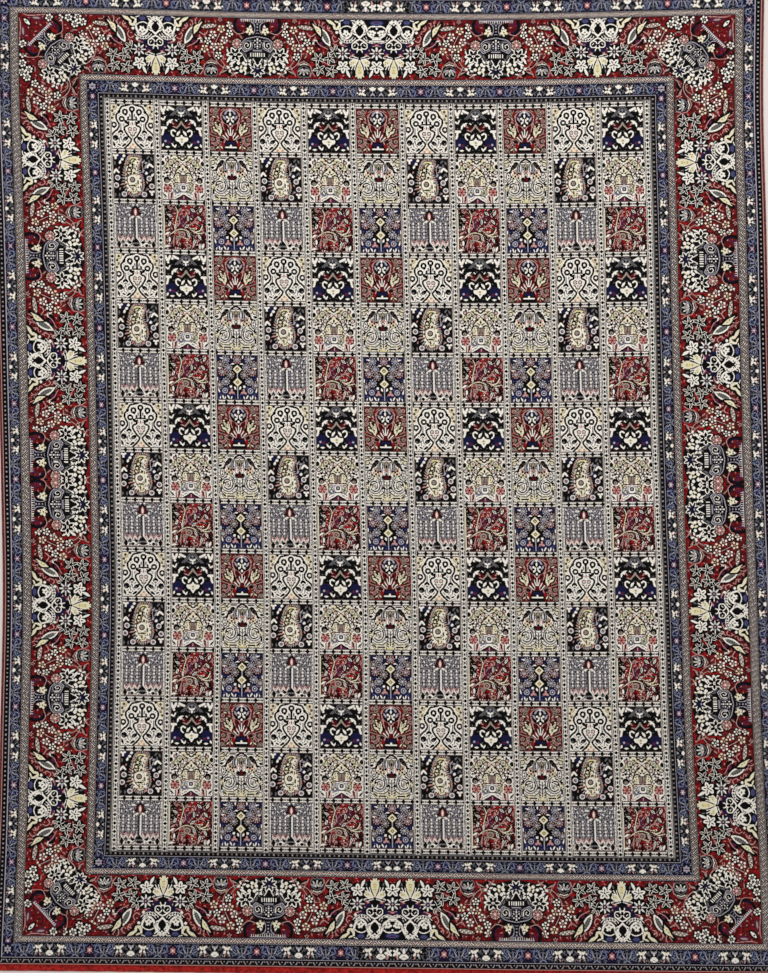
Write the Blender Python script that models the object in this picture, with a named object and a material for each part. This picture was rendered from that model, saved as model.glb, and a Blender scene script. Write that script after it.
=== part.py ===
"""A hand-knotted garden-panel rug that lies flat, with its two overcast side cords, in metres, +Z up.

The rug is first laid out as a true rectangle, centred on the origin: u runs across it to the right, v runs
along it towards its upper end. lie_of() then gives the place where each point of that rectangle really lies,
because the sides of such a rug wander, its ends bow and it widens towards the lower end.
"""

import bpy
import numpy as np

PILE_WIDTH = 1.981  # 1536 knots across
PILE_LENGTH = 2.511  # 1956 rows of knots
PILE_TOP = 0.012  # foundation and clipped pile together
WEB_DEPTH = 0.021  # the flat-woven red web past the pile at each end
WEB_TOP = 0.0035
FIELD_WIDTH = 1.409  # between the dotted frames of the panels
FIELD_LENGTH = 1.941
INNER_GUARDS = 0.062  # from the field to the main border
OUTER_BANDS = 0.223  # the main border and the guards outside it
LOWER_EXTRA = 0.0108  # how much wider those are woven at the lower end, most of it near the edge

CORD_WIDTH = 0.0075  # the wool-wrapped cord along each side
CORD_HEIGHT = 0.0070
CORD_SIDES = 8
SEAT_GAP = 0.0003  # between two pieces that touch

# How far the long sides stray to the right, in metres, from the lower end to the upper, evenly spaced.
LEFT_STRAY = (-0.023, -0.009, -0.001, 0.005, 0.000, -0.007, -0.015, -0.026, -0.031)
RIGHT_STRAY = (0.052, 0.039, 0.023, 0.012, 0.000, -0.009, -0.016, -0.024, -0.021)
# How far the ends stray upwards, from the left side to the right, evenly spaced.
LOWER_STRAY = (0.015, 0.012, 0.008, 0.003, -0.002, -0.005, -0.008)
UPPER_STRAY = (0.018, 0.012, 0.003, -0.001, -0.001, 0.006, 0.014)

# The clipped edge of the pile: distance in from its foot, and the height reached there.
PILE_EDGE = ((0.0, 0.0080), (0.0015, 0.0105), (0.0042, PILE_TOP))
FOOT_OF_PILE = 0.001  # the pile's foot stands this far from the web's start
COLUMNS_BETWEEN = 18
ROWS_BETWEEN = 34


def smooth_through(values, share):
    """Reads evenly spaced values at shares from 0 to 1 of their run, on a smooth cubic through all of them."""
    values = np.array(values)
    slopes = np.gradient(values)
    place = np.clip(share, 0.0, 1.0) * (len(values) - 1)
    low = np.minimum(place.astype(int), len(values) - 2)
    t = place - low
    ease = t * t * (3 - 2 * t)
    bend_low = t * (1 - t) ** 2 * slopes[low]
    bend_high = t * t * (t - 1) * slopes[low + 1]
    return values[low] * (1 - ease) + values[low + 1] * ease + bend_low + bend_high


def lie_of(u, v):
    """Where a point of the true rectangle lies: each side's stray, shared out over the field between them."""
    along = v / (PILE_LENGTH + 2 * WEB_DEPTH) + 0.5
    across = u / (PILE_WIDTH + 2 * CORD_WIDTH) + 0.5
    right_share = np.clip(u / FIELD_WIDTH + 0.5, 0.0, 1.0)
    upper_share = np.clip(v / FIELD_LENGTH + 0.5, 0.0, 1.0)
    left, right = smooth_through(LEFT_STRAY, along), smooth_through(RIGHT_STRAY, along)
    lower, upper = smooth_through(LOWER_STRAY, across), smooth_through(UPPER_STRAY, across)
    into_lower_bands = np.clip((-v - FIELD_LENGTH / 2 - INNER_GUARDS) / OUTER_BANDS, 0.0, 1.0)
    x = u + left * (1 - right_share) + right * right_share
    y = v + lower * (1 - upper_share) + upper * upper_share
    return x, y - LOWER_EXTRA * into_lower_bands**2


def edge_to_edge(half, steps):
    """Stations from -half to half with the clipped pile's edge at both ends, and the height at each."""
    inset, height = np.array(PILE_EDGE).T
    middle = np.linspace(-half + inset[-1], half - inset[-1], steps + 1)[1:-1]
    stations = np.concatenate([inset - half, middle, half - inset[::-1]])
    return stations, np.concatenate([height, np.full(len(middle), PILE_TOP), height[::-1]])


def rows_of_rug():
    """Stations along the whole rug: the web, the pile's edge, the pile, and the same again at the upper end."""
    rows, heights = edge_to_edge(PILE_LENGTH / 2, ROWS_BETWEEN)
    end, foot = PILE_LENGTH / 2 + WEB_DEPTH, PILE_LENGTH / 2 + FOOT_OF_PILE
    rows = np.concatenate([[-end, -foot], rows, [foot, end]])
    return rows, np.concatenate([[WEB_TOP, WEB_TOP], heights, [WEB_TOP, WEB_TOP]])


def new_object(name, vertices, faces, material, smooth):
    mesh = bpy.data.meshes.new(name)
    mesh.from_pydata(vertices.tolist(), [], faces)
    if smooth:
        mesh.shade_smooth()
    mesh.materials.append(material)
    piece = bpy.data.objects.new(name, mesh)
    bpy.context.scene.collection.objects.link(piece)
    return piece


def new_material(name, colour, roughness):
    material = bpy.data.materials.new(name)
    material.use_nodes = True
    shader = material.node_tree.nodes["Principled BSDF"]
    shader.inputs["Base Color"].default_value = (*colour, 1)
    shader.inputs["Roughness"].default_value = roughness
    shader.inputs["Metallic"].default_value = 0.0
    return material


def grid_faces(rows, columns, start, step_up):
    """Quads over a grid of points numbered row by row from start, facing up or down."""
    j, i = np.meshgrid(np.arange(rows - 1), np.arange(columns - 1), indexing="ij")
    first = start + (j * columns + i).ravel()
    ring = [first, first + 1, first + columns + 1, first + columns]
    return np.stack(ring if step_up else ring[::-1], 1).tolist()


def rug_body(material):
    """The pile and its foundation as one slab: a top and an underside over one grid, and a wall round them."""
    columns, side_height = edge_to_edge(PILE_WIDTH / 2, COLUMNS_BETWEEN)
    rows, end_height = rows_of_rug()
    u, v = np.meshgrid(columns, rows)
    x, y = lie_of(u, v)
    top = np.stack([x, y, np.minimum(side_height[None, :], end_height[:, None])], -1)
    underside = np.stack([x, y, np.zeros_like(x)], -1)
    count = u.size
    faces = grid_faces(len(rows), len(columns), 0, True)
    faces += grid_faces(len(rows), len(columns), count, False)
    number = np.arange(count).reshape(u.shape)
    rim = np.concatenate([number[0, :-1], number[:-1, -1], number[-1, :0:-1], number[:0:-1, 0]])
    ahead = np.roll(rim, -1)
    faces += np.stack([rim, rim + count, ahead + count, ahead], 1).tolist()
    points = np.concatenate([top.reshape(-1, 3), underside.reshape(-1, 3)])
    return new_object("rug_body", points, faces, material, smooth=False)


def side_cord(name, side, material):
    """An overcast cord: an oval ring carried along one long side of the rug, from web to web, and capped."""
    rows, _ = rows_of_rug()
    edge_x, edge_y = lie_of(np.full_like(rows, side * PILE_WIDTH / 2), rows)
    middle = edge_x + side * (SEAT_GAP + CORD_WIDTH / 2)
    turn = 2 * np.pi * (np.arange(CORD_SIDES) + 0.5) / CORD_SIDES
    reach = 1 / np.cos(np.pi / CORD_SIDES)  # so that its flats, not its corners, reach the full size
    ring_x = CORD_WIDTH / 2 * reach * np.cos(turn)
    ring_z = CORD_HEIGHT / 2 * (1 + reach * np.sin(turn))
    x = middle[:, None] + ring_x
    y = np.repeat(edge_y[:, None], CORD_SIDES, 1)
    z = np.repeat(ring_z[None, :], len(rows), 0)
    points = np.stack([x, y, z], -1).reshape(-1, 3)
    j, i = np.meshgrid(np.arange(len(rows) - 1), np.arange(CORD_SIDES), indexing="ij")
    here, ahead = j * CORD_SIDES + i, j * CORD_SIDES + (i + 1) % CORD_SIDES
    quads = np.stack([here, here + CORD_SIDES, ahead + CORD_SIDES, ahead], -1)
    last = (len(rows) - 1) * CORD_SIDES
    faces = quads.reshape(-1, 4).tolist()
    faces += [list(range(CORD_SIDES)), list(range(last + CORD_SIDES - 1, last - 1, -1))]
    return new_object(name, points, faces, material, smooth=True)


def centre_on_origin(pieces):
    """Moves the pieces together so that the middle of the box round them stands on the origin."""
    corners = np.array([vertex.co for piece in pieces for vertex in piece.data.vertices])
    middle_x, middle_y, _ = (corners.min(0) + corners.max(0)) / 2
    for piece in pieces:
        piece.location = (-middle_x, -middle_y, 0)


for old in list(bpy.data.objects):
    bpy.data.objects.remove(old, do_unlink=True)

knotted_wool = new_material("knotted wool", (0.23, 0.16, 0.14), 0.95)
red_wool = new_material("red wool", (0.30, 0.03, 0.03), 0.9)
pieces = [
    rug_body(knotted_wool),
    side_cord("selvedge_left", -1, red_wool),
    side_cord("selvedge_right", 1, red_wool),
]
centre_on_origin(pieces)
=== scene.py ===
"""The dressed rug: every knot of the pile and of the back from one chart, red flat-woven ends, wrapped sides.

The chart gives each knot a dye number. The pile is four pieces that meet, from the field outward: field,
inner guards, main border, outer guards. They lie on the cotton foundation, whose underside shows the same
knots from behind. A mesh face carries six by six knots: their dye numbers are packed into the face's
attributes, and the material unpacks them. The rug is laid out as a true rectangle, u across and v along, and
lie_of() gives where each point of it lies.
"""

import bpy
import numpy as np
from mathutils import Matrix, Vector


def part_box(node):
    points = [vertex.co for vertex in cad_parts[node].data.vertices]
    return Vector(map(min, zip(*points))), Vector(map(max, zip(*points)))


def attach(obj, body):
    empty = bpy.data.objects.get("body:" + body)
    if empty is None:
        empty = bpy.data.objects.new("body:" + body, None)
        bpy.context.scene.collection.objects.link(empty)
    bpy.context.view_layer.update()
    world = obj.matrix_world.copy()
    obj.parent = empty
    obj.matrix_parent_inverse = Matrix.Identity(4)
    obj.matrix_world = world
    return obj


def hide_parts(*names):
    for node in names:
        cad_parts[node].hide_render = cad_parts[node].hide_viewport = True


# --- the rug's measures in metres, as in the solids
PILE_WIDTH, PILE_LENGTH = 1.981, 2.511
WEB_DEPTH, WEB_TOP = 0.021, 0.0035
FIELD_WIDTH, FIELD_LENGTH = 1.409, 1.941
INNER_GUARDS, OUTER_BANDS = 0.062, 0.223
LOWER_EXTRA = 0.0108
CORD_WIDTH, CORD_HEIGHT = 0.0075, 0.0070
SEAT_GAP = 0.0003
LEFT_STRAY = (-0.023, -0.009, -0.001, 0.005, 0.000, -0.007, -0.015, -0.026, -0.031)
RIGHT_STRAY = (0.052, 0.039, 0.023, 0.012, 0.000, -0.009, -0.016, -0.024, -0.021)
LOWER_STRAY = (0.015, 0.012, 0.008, 0.003, -0.002, -0.005, -0.008)
UPPER_STRAY = (0.018, 0.012, 0.003, -0.001, -0.001, 0.006, 0.014)

PILE_TOP = 0.0118  # a little under the solid's 12 mm, for the pile's waves
PILE_FOOT = 0.0022  # where the tufts leave the foundation
BACK_TOP = 0.0024  # the foundation's upper side
EDGE_DROP = 0.0022  # how much lower the clipped pile stands at the rug's edge

# --- the chart's measures, in knots
BLOCK = 6  # knots along each side of a mesh face
CODES_IN_VECTOR = 3  # a face's six codes are kept in two vectors
COLUMNS, ROWS = 256, 326  # mesh faces across and along
ACROSS, ALONG = BLOCK * COLUMNS, BLOCK * ROWS
PANEL = 84, 88  # across and along
DIVIDER = 14, 12
PITCH = PANEL[0] + DIVIDER[0], PANEL[1] + DIVIDER[1]
PANELS_ACROSS, PANELS_ALONG = 11, 15
# how deep the bands start from the rug's edge; where there are two numbers, on the ends and on the sides
DOTS, OUTER_LINE, OUTER_GUARD, OUTER_ZIGZAG = 2, 12, 15, (41, 36)
BORDER, INNER_ZIGZAG, INNER_GUARD = 54, 174, (187, 190)
INNER_LINE, INNER_DOTS, FIELD = 210, 213, 222
CORNER = 200  # the square round each corner's vase
# along an edge from its middle: the first cartouche, and from there to a vase
CARTOUCHES_ON_END, CARTOUCHES_ON_SIDE = (34, 203), (245, 198)
LAST_SPRAY = 290  # from the last cartouche into the corner
GUARD_HALF = 82  # from a rosette past the flower group beside it

# --- the dyes, by number, and their display colours
BLACK, NAVY, BLUE, SKY, GREY, WHITE, CREAM, LEMON = range(8)
RED, MAROON, PINK, PLUM, BROWN, BEIGE, MOSS, LILAC = range(8, 16)
DYES = ((12, 10, 11), (24, 24, 58), (70, 78, 118), (128, 134, 158), (104, 102, 104), (236, 230, 220),
        (228, 218, 188), (218, 207, 150), (146, 24, 24), (78, 15, 20), (196, 144, 138), (84, 28, 58),
        (74, 54, 46), (160, 142, 130), (142, 142, 116), (168, 162, 174))
BASE = len(DYES)  # a code is a number in this base, one digit to a knot


def smooth_through(values, share):
    """Reads evenly spaced values at shares from 0 to 1 of their run, on a smooth cubic through them all."""
    values = np.array(values, float)
    slopes = np.gradient(values)
    place = np.clip(share, 0.0, 1.0) * (len(values) - 1)
    low = np.minimum(place.astype(int), len(values) - 2)
    t = place - low
    ease = t * t * (3 - 2 * t)
    bend_low = t * (1 - t) ** 2 * slopes[low]
    bend_high = t * t * (t - 1) * slopes[low + 1]
    return values[low] * (1 - ease) + values[low + 1] * ease + bend_low + bend_high


def curve_through(points):
    """Five short straight pieces from each point to the next, along a smooth curve through them all."""
    xs, ys = np.array(points, float).T
    share = np.linspace(0, 1, 5 * (len(xs) - 1) + 1)
    return smooth_through(xs, share), smooth_through(ys, share)


class Tile:
    """A part of the knot chart, one dye number to a knot, painted shape over shape. A unit is two knots.

    at() puts the origin at x, y, turns the axes clockwise by turn degrees and makes the unit size times as
    big. With pair it folds x about zero, so that a shape painted at x is painted at -x too. y runs up.
    """

    def __init__(self, knots, left=None, foot=None):
        self.knots = knots
        high, wide = knots.shape
        left = -wide / 4 if left is None else left
        foot = -high / 4 if foot is None else foot
        across, up = left + (np.arange(wide) + 0.5) / 2, foot + (np.arange(high) + 0.5) / 2
        self.plain = np.meshgrid(across, up)
        self.at()

    def at(self, x=0.0, y=0.0, turn=0.0, size=1.0, pair=False):
        """Sets the axes that the shapes after it are drawn on."""
        self.x, self.y = self.plain
        up, across = self.turned(x, y, turn)
        self.x, self.y = np.abs(across) / size if pair else across / size, up / size
        return self

    def turned(self, x, y, turn):
        """Distances from x, y along a direction turned clockwise from up by turn degrees, and across it."""
        cos, sin = np.cos(np.radians(turn)), np.sin(np.radians(turn))
        right, up = self.x - x, self.y - y
        return right * sin + up * cos, right * cos - up * sin

    def dots(self, dye, radius, *places):
        """At each x, y: a filled circle."""
        for x, y in places:
            self.knots[np.hypot(self.x - x, self.y - y) < radius] = dye

    def rings(self, dye, radius, wide, *places):
        """At each x, y: a circle's line, wide across."""
        for x, y in places:
            self.knots[np.abs(np.hypot(self.x - x, self.y - y) - radius) < wide / 2] = dye

    def petals(self, dye, count, inner, reach, wide, *places, sharp=0.5):
        """Round each x, y, turn: count petals from inner to reach.

        Half width is wide / 2 times (1 - t^2)^sharp, with t from -1 to 1 along the petal.
        """
        for x, y, turn in places:
            up, across = self.turned(x, y, turn)
            angle, far = np.arctan2(across, up), np.hypot(across, up)
            angle -= 2 * np.pi / count * np.round(angle * count / (2 * np.pi))
            t = (far * np.cos(angle) * 2 - inner - reach) / (reach - inner)
            half = wide / 2 * np.clip(1 - t * t, 0, None) ** sharp
            self.knots[np.abs(far * np.sin(angle)) < half] = dye

    def leaves(self, dye, wide, long, *places, sharp=1.0):
        """At each x, y, turn: a leaf, its half width wide / 2 times (1 - t^2)^sharp, t from -1 to 1."""
        for x, y, turn in places:
            up, across = self.turned(x, y, turn)
            half = wide / 2 * np.clip(1 - (2 * up / long) ** 2, 0, None) ** sharp
            self.knots[np.abs(across) < half] = dye

    def lines(self, dye, wide, *paths):
        """Lines of one width, each a chain of short pieces on a smooth curve through its points."""
        for path in paths:
            xs, ys = curve_through(path) if len(path) > 2 else np.array(path, float).T
            for x0, y0, x1, y1 in zip(xs[:-1], ys[:-1], xs[1:], ys[1:]):
                run, rise = x1 - x0, y1 - y0
                t = np.clip(((self.x - x0) * run + (self.y - y0) * rise) / (run * run + rise * rise), 0, 1)
                gap = np.hypot(self.x - x0 - t * run, self.y - y0 - t * rise)
                self.knots[gap < wide / 2] = dye

    def patch(self, dye, *points, smooth=True):
        """Fills an outline; a knot is inside where a line to its right crosses it an odd number of times."""
        closed = points + points[:1]
        xs, ys = curve_through(closed) if smooth else np.array(closed, float).T
        inside = np.zeros(self.x.shape, bool)
        for x0, y0, x1, y1 in zip(xs[:-1], ys[:-1], xs[1:], ys[1:]):
            if y0 != y1:
                beside = (y0 > self.y) != (y1 > self.y)
                inside ^= beside & (self.x < x0 + (x1 - x0) * (self.y - y0) / (y1 - y0))
        self.knots[inside] = dye

    def blossoms(self, petal, heart, ground, reach, *places, count=5):
        """Small flowers: a dark ground, a ring of count round petals with gaps between, and a heart."""
        self.dots(ground, reach * 1.2, *places)
        for angle in 2 * np.pi * np.arange(count) / count:
            right, up = 0.74 * reach * np.sin(angle), 0.74 * reach * np.cos(angle)
            self.dots(petal, reach * 0.29, *[(x + right, y + up) for x, y in places])
        self.dots(heart, reach * 0.22, *places)

    def outline(self, ground, dark, light):
        """Turns each ground knot beside a knot of a light dye dark: the line knotted round each motif."""
        self.knots[spread(np.isin(self.knots, light), 1) & (self.knots == ground)] = dark

    def ovals(self, dye, wide, high, *places):
        """At each x, y, turn: a filled ellipse."""
        for x, y, turn in places:
            up, across = self.turned(x, y, turn)
            self.knots[(2 * up / high) ** 2 + (2 * across / wide) ** 2 < 1] = dye

    def scatter(self, dye, grounds, wide, long, pitch, seed):
        """Strews small leaves, one to a square cell, shifted and turned by chance, clear of other shapes.

        Each knot is tried against the leaves of its own cell and of the eight round it.
        """
        dice = np.random.default_rng(seed)
        cells = 97, 89  # across and up, before the same chances come again
        shift, turn = dice.uniform(-0.35, 0.35, (2, *cells)), dice.uniform(0, np.pi, cells)
        free = ~spread(~np.isin(self.knots, grounds), 1)
        for side in (-1, 0, 1):
            for foot in (-1, 0, 1):
                i = np.floor(self.x / pitch).astype(int) + side
                j = np.floor(self.y / pitch).astype(int) + foot
                cell = i % cells[0], j % cells[1]
                right = self.x - (i + 0.5 + shift[0][cell]) * pitch
                up = self.y - (j + 0.5 + shift[1][cell]) * pitch
                cos, sin = np.cos(turn[cell]), np.sin(turn[cell])
                half = wide / 2 * np.clip(1 - (2 * (right * sin + up * cos) / long) ** 2, 0, None)
                self.knots[(np.abs(right * cos - up * sin) < half) & free] = dye

    def echo(self, ground, dye, away):
        """Repeats the edge of all shapes as a thin line in the ground, away knots from them."""
        shapes = self.knots != ground
        self.knots[spread(shapes, away) & ~spread(shapes, away - 1)] = dye


def spread(mask, steps):
    """A mask grown by that many knots, up, down and sideways."""
    for _ in range(steps):
        grown = mask.copy()
        grown[1:] |= mask[:-1]
        grown[:-1] |= mask[1:]
        grown[:, 1:] |= mask[:, :-1]
        grown[:, :-1] |= mask[:, 1:]
        mask = grown
    return mask


def from_nearest(along, first, pitch):
    """How far along lies from the nearest of the places first, first + pitch, first + 2 pitch and so on."""
    return np.abs((along - first + pitch // 2) % pitch - pitch // 2)


def mirrored(*half):
    """An outline's points and then, back to the start, the same points at the other side of x = 0."""
    return half + tuple((-x, y) for x, y in half[::-1] if x)


def new_tile(wide, high, dye, left=None, foot=None):
    """A tile of one dye, wide by high knots, from left and foot in units, or about its own middle."""
    return Tile(np.full((high, wide), dye, np.uint8), left, foot)


def panel(ground, pair=True):
    """A blank panel with its origin in the middle."""
    return new_tile(*PANEL, ground).at(pair=pair)


def arch_panel():
    """A white panel: a cusped arch over ring flowers, a scrolling stem and an ogee, echoed by a line."""
    t = panel(WHITE)
    t.patch(CREAM, (13, 23), (22, 23), (22, 5.5), (17.5, 6), (17.8, 11), (15.5, 14.5), (13.6, 18),
            smooth=False)
    t.dots(BROWN, 1.3, (18, 19.5), (19.6, 15.5), (18.4, 12), (20, 8.4))
    t.lines(BEIGE, 0.8, [(15, 20.5), (16.6, 17), (19, 17.6)], [(16.8, 14), (19.8, 11)])
    t.dots(BLACK, 1.5, (13.4, 21.6), (13.2, 14.4))
    t.lines(BLACK, 1.8, [(2.5, 22), (6, 21), (9.5, 20.2), (12, 17.5), (12.7, 15), (14.3, 13), (16, 11),
                         (16, 8)])
    t.lines(BLACK, 1.8, [(16, 8), (15, 5.5), (13.6, 3), (13.3, 0), (15.5, -3.5), (18.5, -5.8), (21.5, -10)])
    rings = (0, 17.5), (7, 14.7), (10.4, 7.5), (18.4, 1.6)
    t.dots(BLACK, 3.1, *rings)
    t.leaves(BLACK, 3.4, 4.6, (0, 15.4, 0), (6.6, 12.8, 10), (18.4, 0, 0))
    t.dots(WHITE, 1.25, *rings)
    t.lines(BLACK, 1.9, [(0, 13), (0, 6.6)])
    t.lines(BLACK, 1.7, [(0, 6.7), (4.6, 6.7)])
    t.leaves(GREY, 1.5, 4.4, (2.1, 11, 12))
    t.leaves(BLACK, 1.9, 3.6, (4, 8.8, -25))
    t.leaves(BLACK, 3.2, 5, (6.3, 4.6, 40))
    t.lines(BLACK, 1.8, [(3.6, 4.6), (4.2, 1.2), (7, 0), (8.2, -2.2), (7, -5.5), (4.5, -9.3), (1.6, -13),
                         (3.4, -17), (8.4, -22)])
    t.leaves(BROWN, 1.5, 4, (0, 3, 0))
    t.dots(PINK, 0.8, (2, 2.6))
    t.rings(BROWN, 1.7, 0.9, (2.4, -2.6))
    t.dots(PINK, 0.8, (2.4, -2.6), (0, -6))
    t.leaves(BROWN, 1.4, 3.4, (3, -6, 55), (1.4, -8.6, 30))
    t.lines(MOSS, 0.9, [(0, -8), (0, -12)])
    t.lines(GREY, 1.2, [(11.4, 2.6), (11.7, -3)])
    t.dots(BLACK, 2.6, (11.8, -6))
    t.dots(WHITE, 2.1, (11.8, -8.2))
    t.dots(GREY, 1.1, (11.8, -8), (14.4, -12.6))
    t.dots(BLACK, 2.9, (17.2, -11.6))
    t.leaves(BLACK, 4, 7, (7.2, -12.2, -60))
    t.dots(GREY, 1.0, (18, -12.8), (7.8, -13.2))
    t.lines(GREY, 0.8, [(11.6, -10), (11.2, -13), (9.4, -15.6)], [(12, -10), (13.6, -13), (13, -16)])
    t.leaves(BLACK, 2.4, 6.4, (18.8, -18, 20), (8.8, -18.6, -55))
    t.leaves(BLACK, 1.8, 4, (13.6, -18.6, 60))
    t.patch(CREAM, *mirrored((0, -15.3), (2.5, -18), (6.8, -22.8)), smooth=False)
    t.dots(PINK, 1.2, (0, -18), (2.6, -20.8))
    t.lines(BEIGE, 0.8, [(20.8, 5), (20.8, -22)])
    t.echo(WHITE, BLACK, 4)
    return t.knots


def pediment_panel():
    """A black panel: white leaves and blossoms round a thin speckled pediment and a cream palmette."""
    t = panel(BLACK)
    t.lines(GREY, 0.8, [(0, 21.8), (3.6, 20.4), (6.6, 16.4), (10.8, 12.2)],
            [(0, 20.2), (3, 19), (5.6, 15.4), (8.6, 12.4)])
    t.rings(GREY, 1.5, 0.8, (1.8, 17.4), (4.2, 14.6))
    t.dots(LILAC, 0.7, (0, 19), (3.4, 17.2), (2.2, 12.4))
    t.petals(WHITE, 3, 0, 3.4, 2.0, (0, 14.2, 180))
    t.lines(WHITE, 2.4, [(20.2, 20.6), (18.2, 16.4), (15.6, 20.6)], [(7.8, 18.4), (12.4, 20.6)])
    t.dots(WHITE, 1.2, (17.6, 14.4), (13.4, 18.2))
    t.lines(WHITE, 1.5, [(20, 9.4), (17.8, 8), (16, 11)])
    t.leaves(WHITE, 2.4, 7.6, (11.4, 6.6, 120))
    t.leaves(WHITE, 1.8, 5, (10, 5.2, 85), (13.6, 4, 165))
    t.leaves(WHITE, 1.3, 3.4, (5, 7.4, 45))
    t.leaves(MAROON, 4.4, 8, (6.6, 3.4, 60))
    t.leaves(PINK, 1.0, 3.4, (8.2, 4.2, 60))
    t.lines(BEIGE, 1.6, [(0, 6), (1.9, 3), (4.6, 0)])
    t.leaves(PINK, 1.2, 4.4, (7, 0.8, 70))
    t.lines(WHITE, 2.8, [(15.8, -0.2), (20.6, -0.2)])
    t.lines(WHITE, 2.2, [(17.8, -0.5), (19.2, -7)])
    t.lines(WHITE, 1.5, [(6.3, -3.6), (8.3, -2.3), (10.4, -4), (10, -6.5), (8.3, -8.3)])
    t.leaves(WHITE, 2.4, 6.4, (3.4, -5.6, -35))
    t.dots(NAVY, 5.6, (15, -11.8))
    t.dots(PLUM, 1.6, (13, -14.6))
    t.dots(LILAC, 1.2, (16.4, -13.6))
    t.patch(WHITE, *mirrored((0, -6.8), (2.5, -9.3), (6.2, -9.8), (5.7, -13), (2.6, -14.6), (0, -18)))
    t.leaves(CREAM, 3.4, 6, (0, -11.8, 90))
    t.dots(MOSS, 0.9, (0, -11.6), (0, -14.2))
    t.leaves(WHITE, 2.0, 4.6, (19, -17.6, -30), (14.2, -19.4, 90))
    t.leaves(WHITE, 1.8, 4.6, (6.6, -18.4, -35), (9, -17.4, 35))
    t.scatter(GREY, [BLACK], 0.9, 2.0, 5.2, 4)
    t.lines(BEIGE, 0.8, [(20.8, 21), (20.8, -21.6)])
    return t.knots


def blossom_panel():
    """A dark red panel: a white and lilac blossom between two cream ones, on stems out of a dark vase."""
    t = panel(MAROON)
    t.scatter(RED, [MAROON], 2.2, 4.4, 5.2, 6)
    t.lines(PINK, 0.8, [(0, 20.6), (4, 19.8), (7.8, 16.8), (9.2, 11.8), (7.6, 7.4), (3.4, 4.8)],
            [(7.6, 7.4), (7.4, 3), (6, -1.4), (4.2, -6.4)])
    t.lines(BEIGE, 0.7, [(10.6, 20.8), (12.6, 16), (11.4, 11), (14, 8)],
            [(20.6, -5.4), (15, -7.4), (9, -8.4), (5.2, -10.6)])
    t.lines(BEIGE, 0.7, [(20.8, 13.6), (17.6, 14.8), (14.6, 13.4)], [(9.4, -13), (14, -12.4), (20, -15)],
            [(11, -21), (12, -17.6), (9.6, -15)])
    t.lines(BEIGE, 0.8, [(19.4, 1), (17.6, -3.4), (14.4, -5)], [(16, -21), (17, -18)],
            [(6, 20.6), (8.6, 18.8)])
    rings = ((18, 18.4), (14.2, 19.4), (18.4, 9.4), (14.6, 15.6), (12.4, -10), (18, -10.6), (15.4, -15.2),
             (19, -19.4), (19.4, 4.6))
    t.dots(BLACK, 2.5, *rings)
    t.rings(PINK, 1.6, 0.7, *rings[::2])
    t.rings(BEIGE, 1.6, 0.7, *rings[1::2])
    t.dots(BEIGE, 0.6, *rings)
    t.dots(BLACK, 4.8, (2.4, 14.4), (2.8, 9.8))
    t.leaves(LILAC, 1.9, 6.0, (4.4, 16.2, -30), (5.8, 11.4, 30), (2.2, 18.6, -64))
    t.leaves(NAVY, 1.3, 4.0, (3.0, 15, -20), (5.2, 13.6, 10))
    t.leaves(WHITE, 2.4, 6.4, (1.9, 9.4, -28))
    t.leaves(WHITE, 1.8, 5, (0, 14.8, 0))
    t.dots(WHITE, 1.1, (0, 18.8), (3.2, 12.2))
    t.dots(BLACK, 0.8, (0, 9.8), (0, 12.2), (2.6, 9.6))
    t.leaves(WHITE, 2.4, 3.2, (0, 5.2, 0))
    t.leaves(BLACK, 1.8, 5.2, (3.4, 1.4, 30), (6.6, -3.4, -20), (9.4, -10.8, 70))
    t.lines(WHITE, 0.9, [(0, 1.4), (0, -6)], [(2.8, -0.6), (1.0, -6.2)], [(4.8, -4.2), (2.2, -8.4)],
            [(7.6, -6.4), (4, -10.2)])
    t.leaves(PINK, 1.1, 4.2, (1.9, 3, 30), (2.6, -9.6, -20), (6.4, -12.6, -20), (12.4, -13.8, 30),
             (18, -14.6, 50))
    # the blossoms at the sides, each five cream leaves over a dark calyx
    t.leaves(BLACK, 9.0, 13, (11.6, -0.4, 24))
    t.leaves(CREAM, 2.2, 7.4, (13.0, 2.2, 32), (10.2, 2.0, 2), (14, -1.8, 60), (9.6, -2.0, -4),
             (11.4, -3.8, 26))
    t.leaves(MAROON, 0.8, 4.4, (13.0, 2.2, 32), (10.2, 2.0, 2), (11.6, -2.6, 26))
    t.dots(CREAM, 0.9, (14.6, 6.2), (16.6, 1.4))
    t.leaves(BEIGE, 1.2, 4.2, (17, 5.4, 20), (8.8, 6.8, -20), (9.4, 14.6, -20), (12, 8.4, 60))
    t.leaves(BLACK, 3.4, 5.8, (12.4, 12.2, 30))
    t.leaves(PINK, 1.8, 4.4, (12.4, 12.2, 30))
    t.patch(BLACK, (-4.6, -11.6), (4.6, -11.6), (6, -16), (7.4, -22), (-7.4, -22), (-6, -16), smooth=False)
    t.patch(NAVY, (-4, -12.4), (4, -12.4), (5.2, -15.6), (-5.2, -15.6), smooth=False)
    t.lines(WHITE, 1.7, [(0, -18.2), (5, -18.2)])
    t.dots(WHITE, 1.2, (0, -16.8))
    t.leaves(CREAM, 1.3, 3.6, (13.4, -18.8, -50), (9.4, -18.4, 30), (16.2, 12.2, 70))
    t.scatter(PINK, [RED], 0.9, 2.2, 4.4, 8)
    t.outline(RED, BLACK, [WHITE, CREAM, BEIGE])
    t.outline(MAROON, BLACK, [WHITE, CREAM, PINK, BEIGE])
    return t.knots


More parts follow.
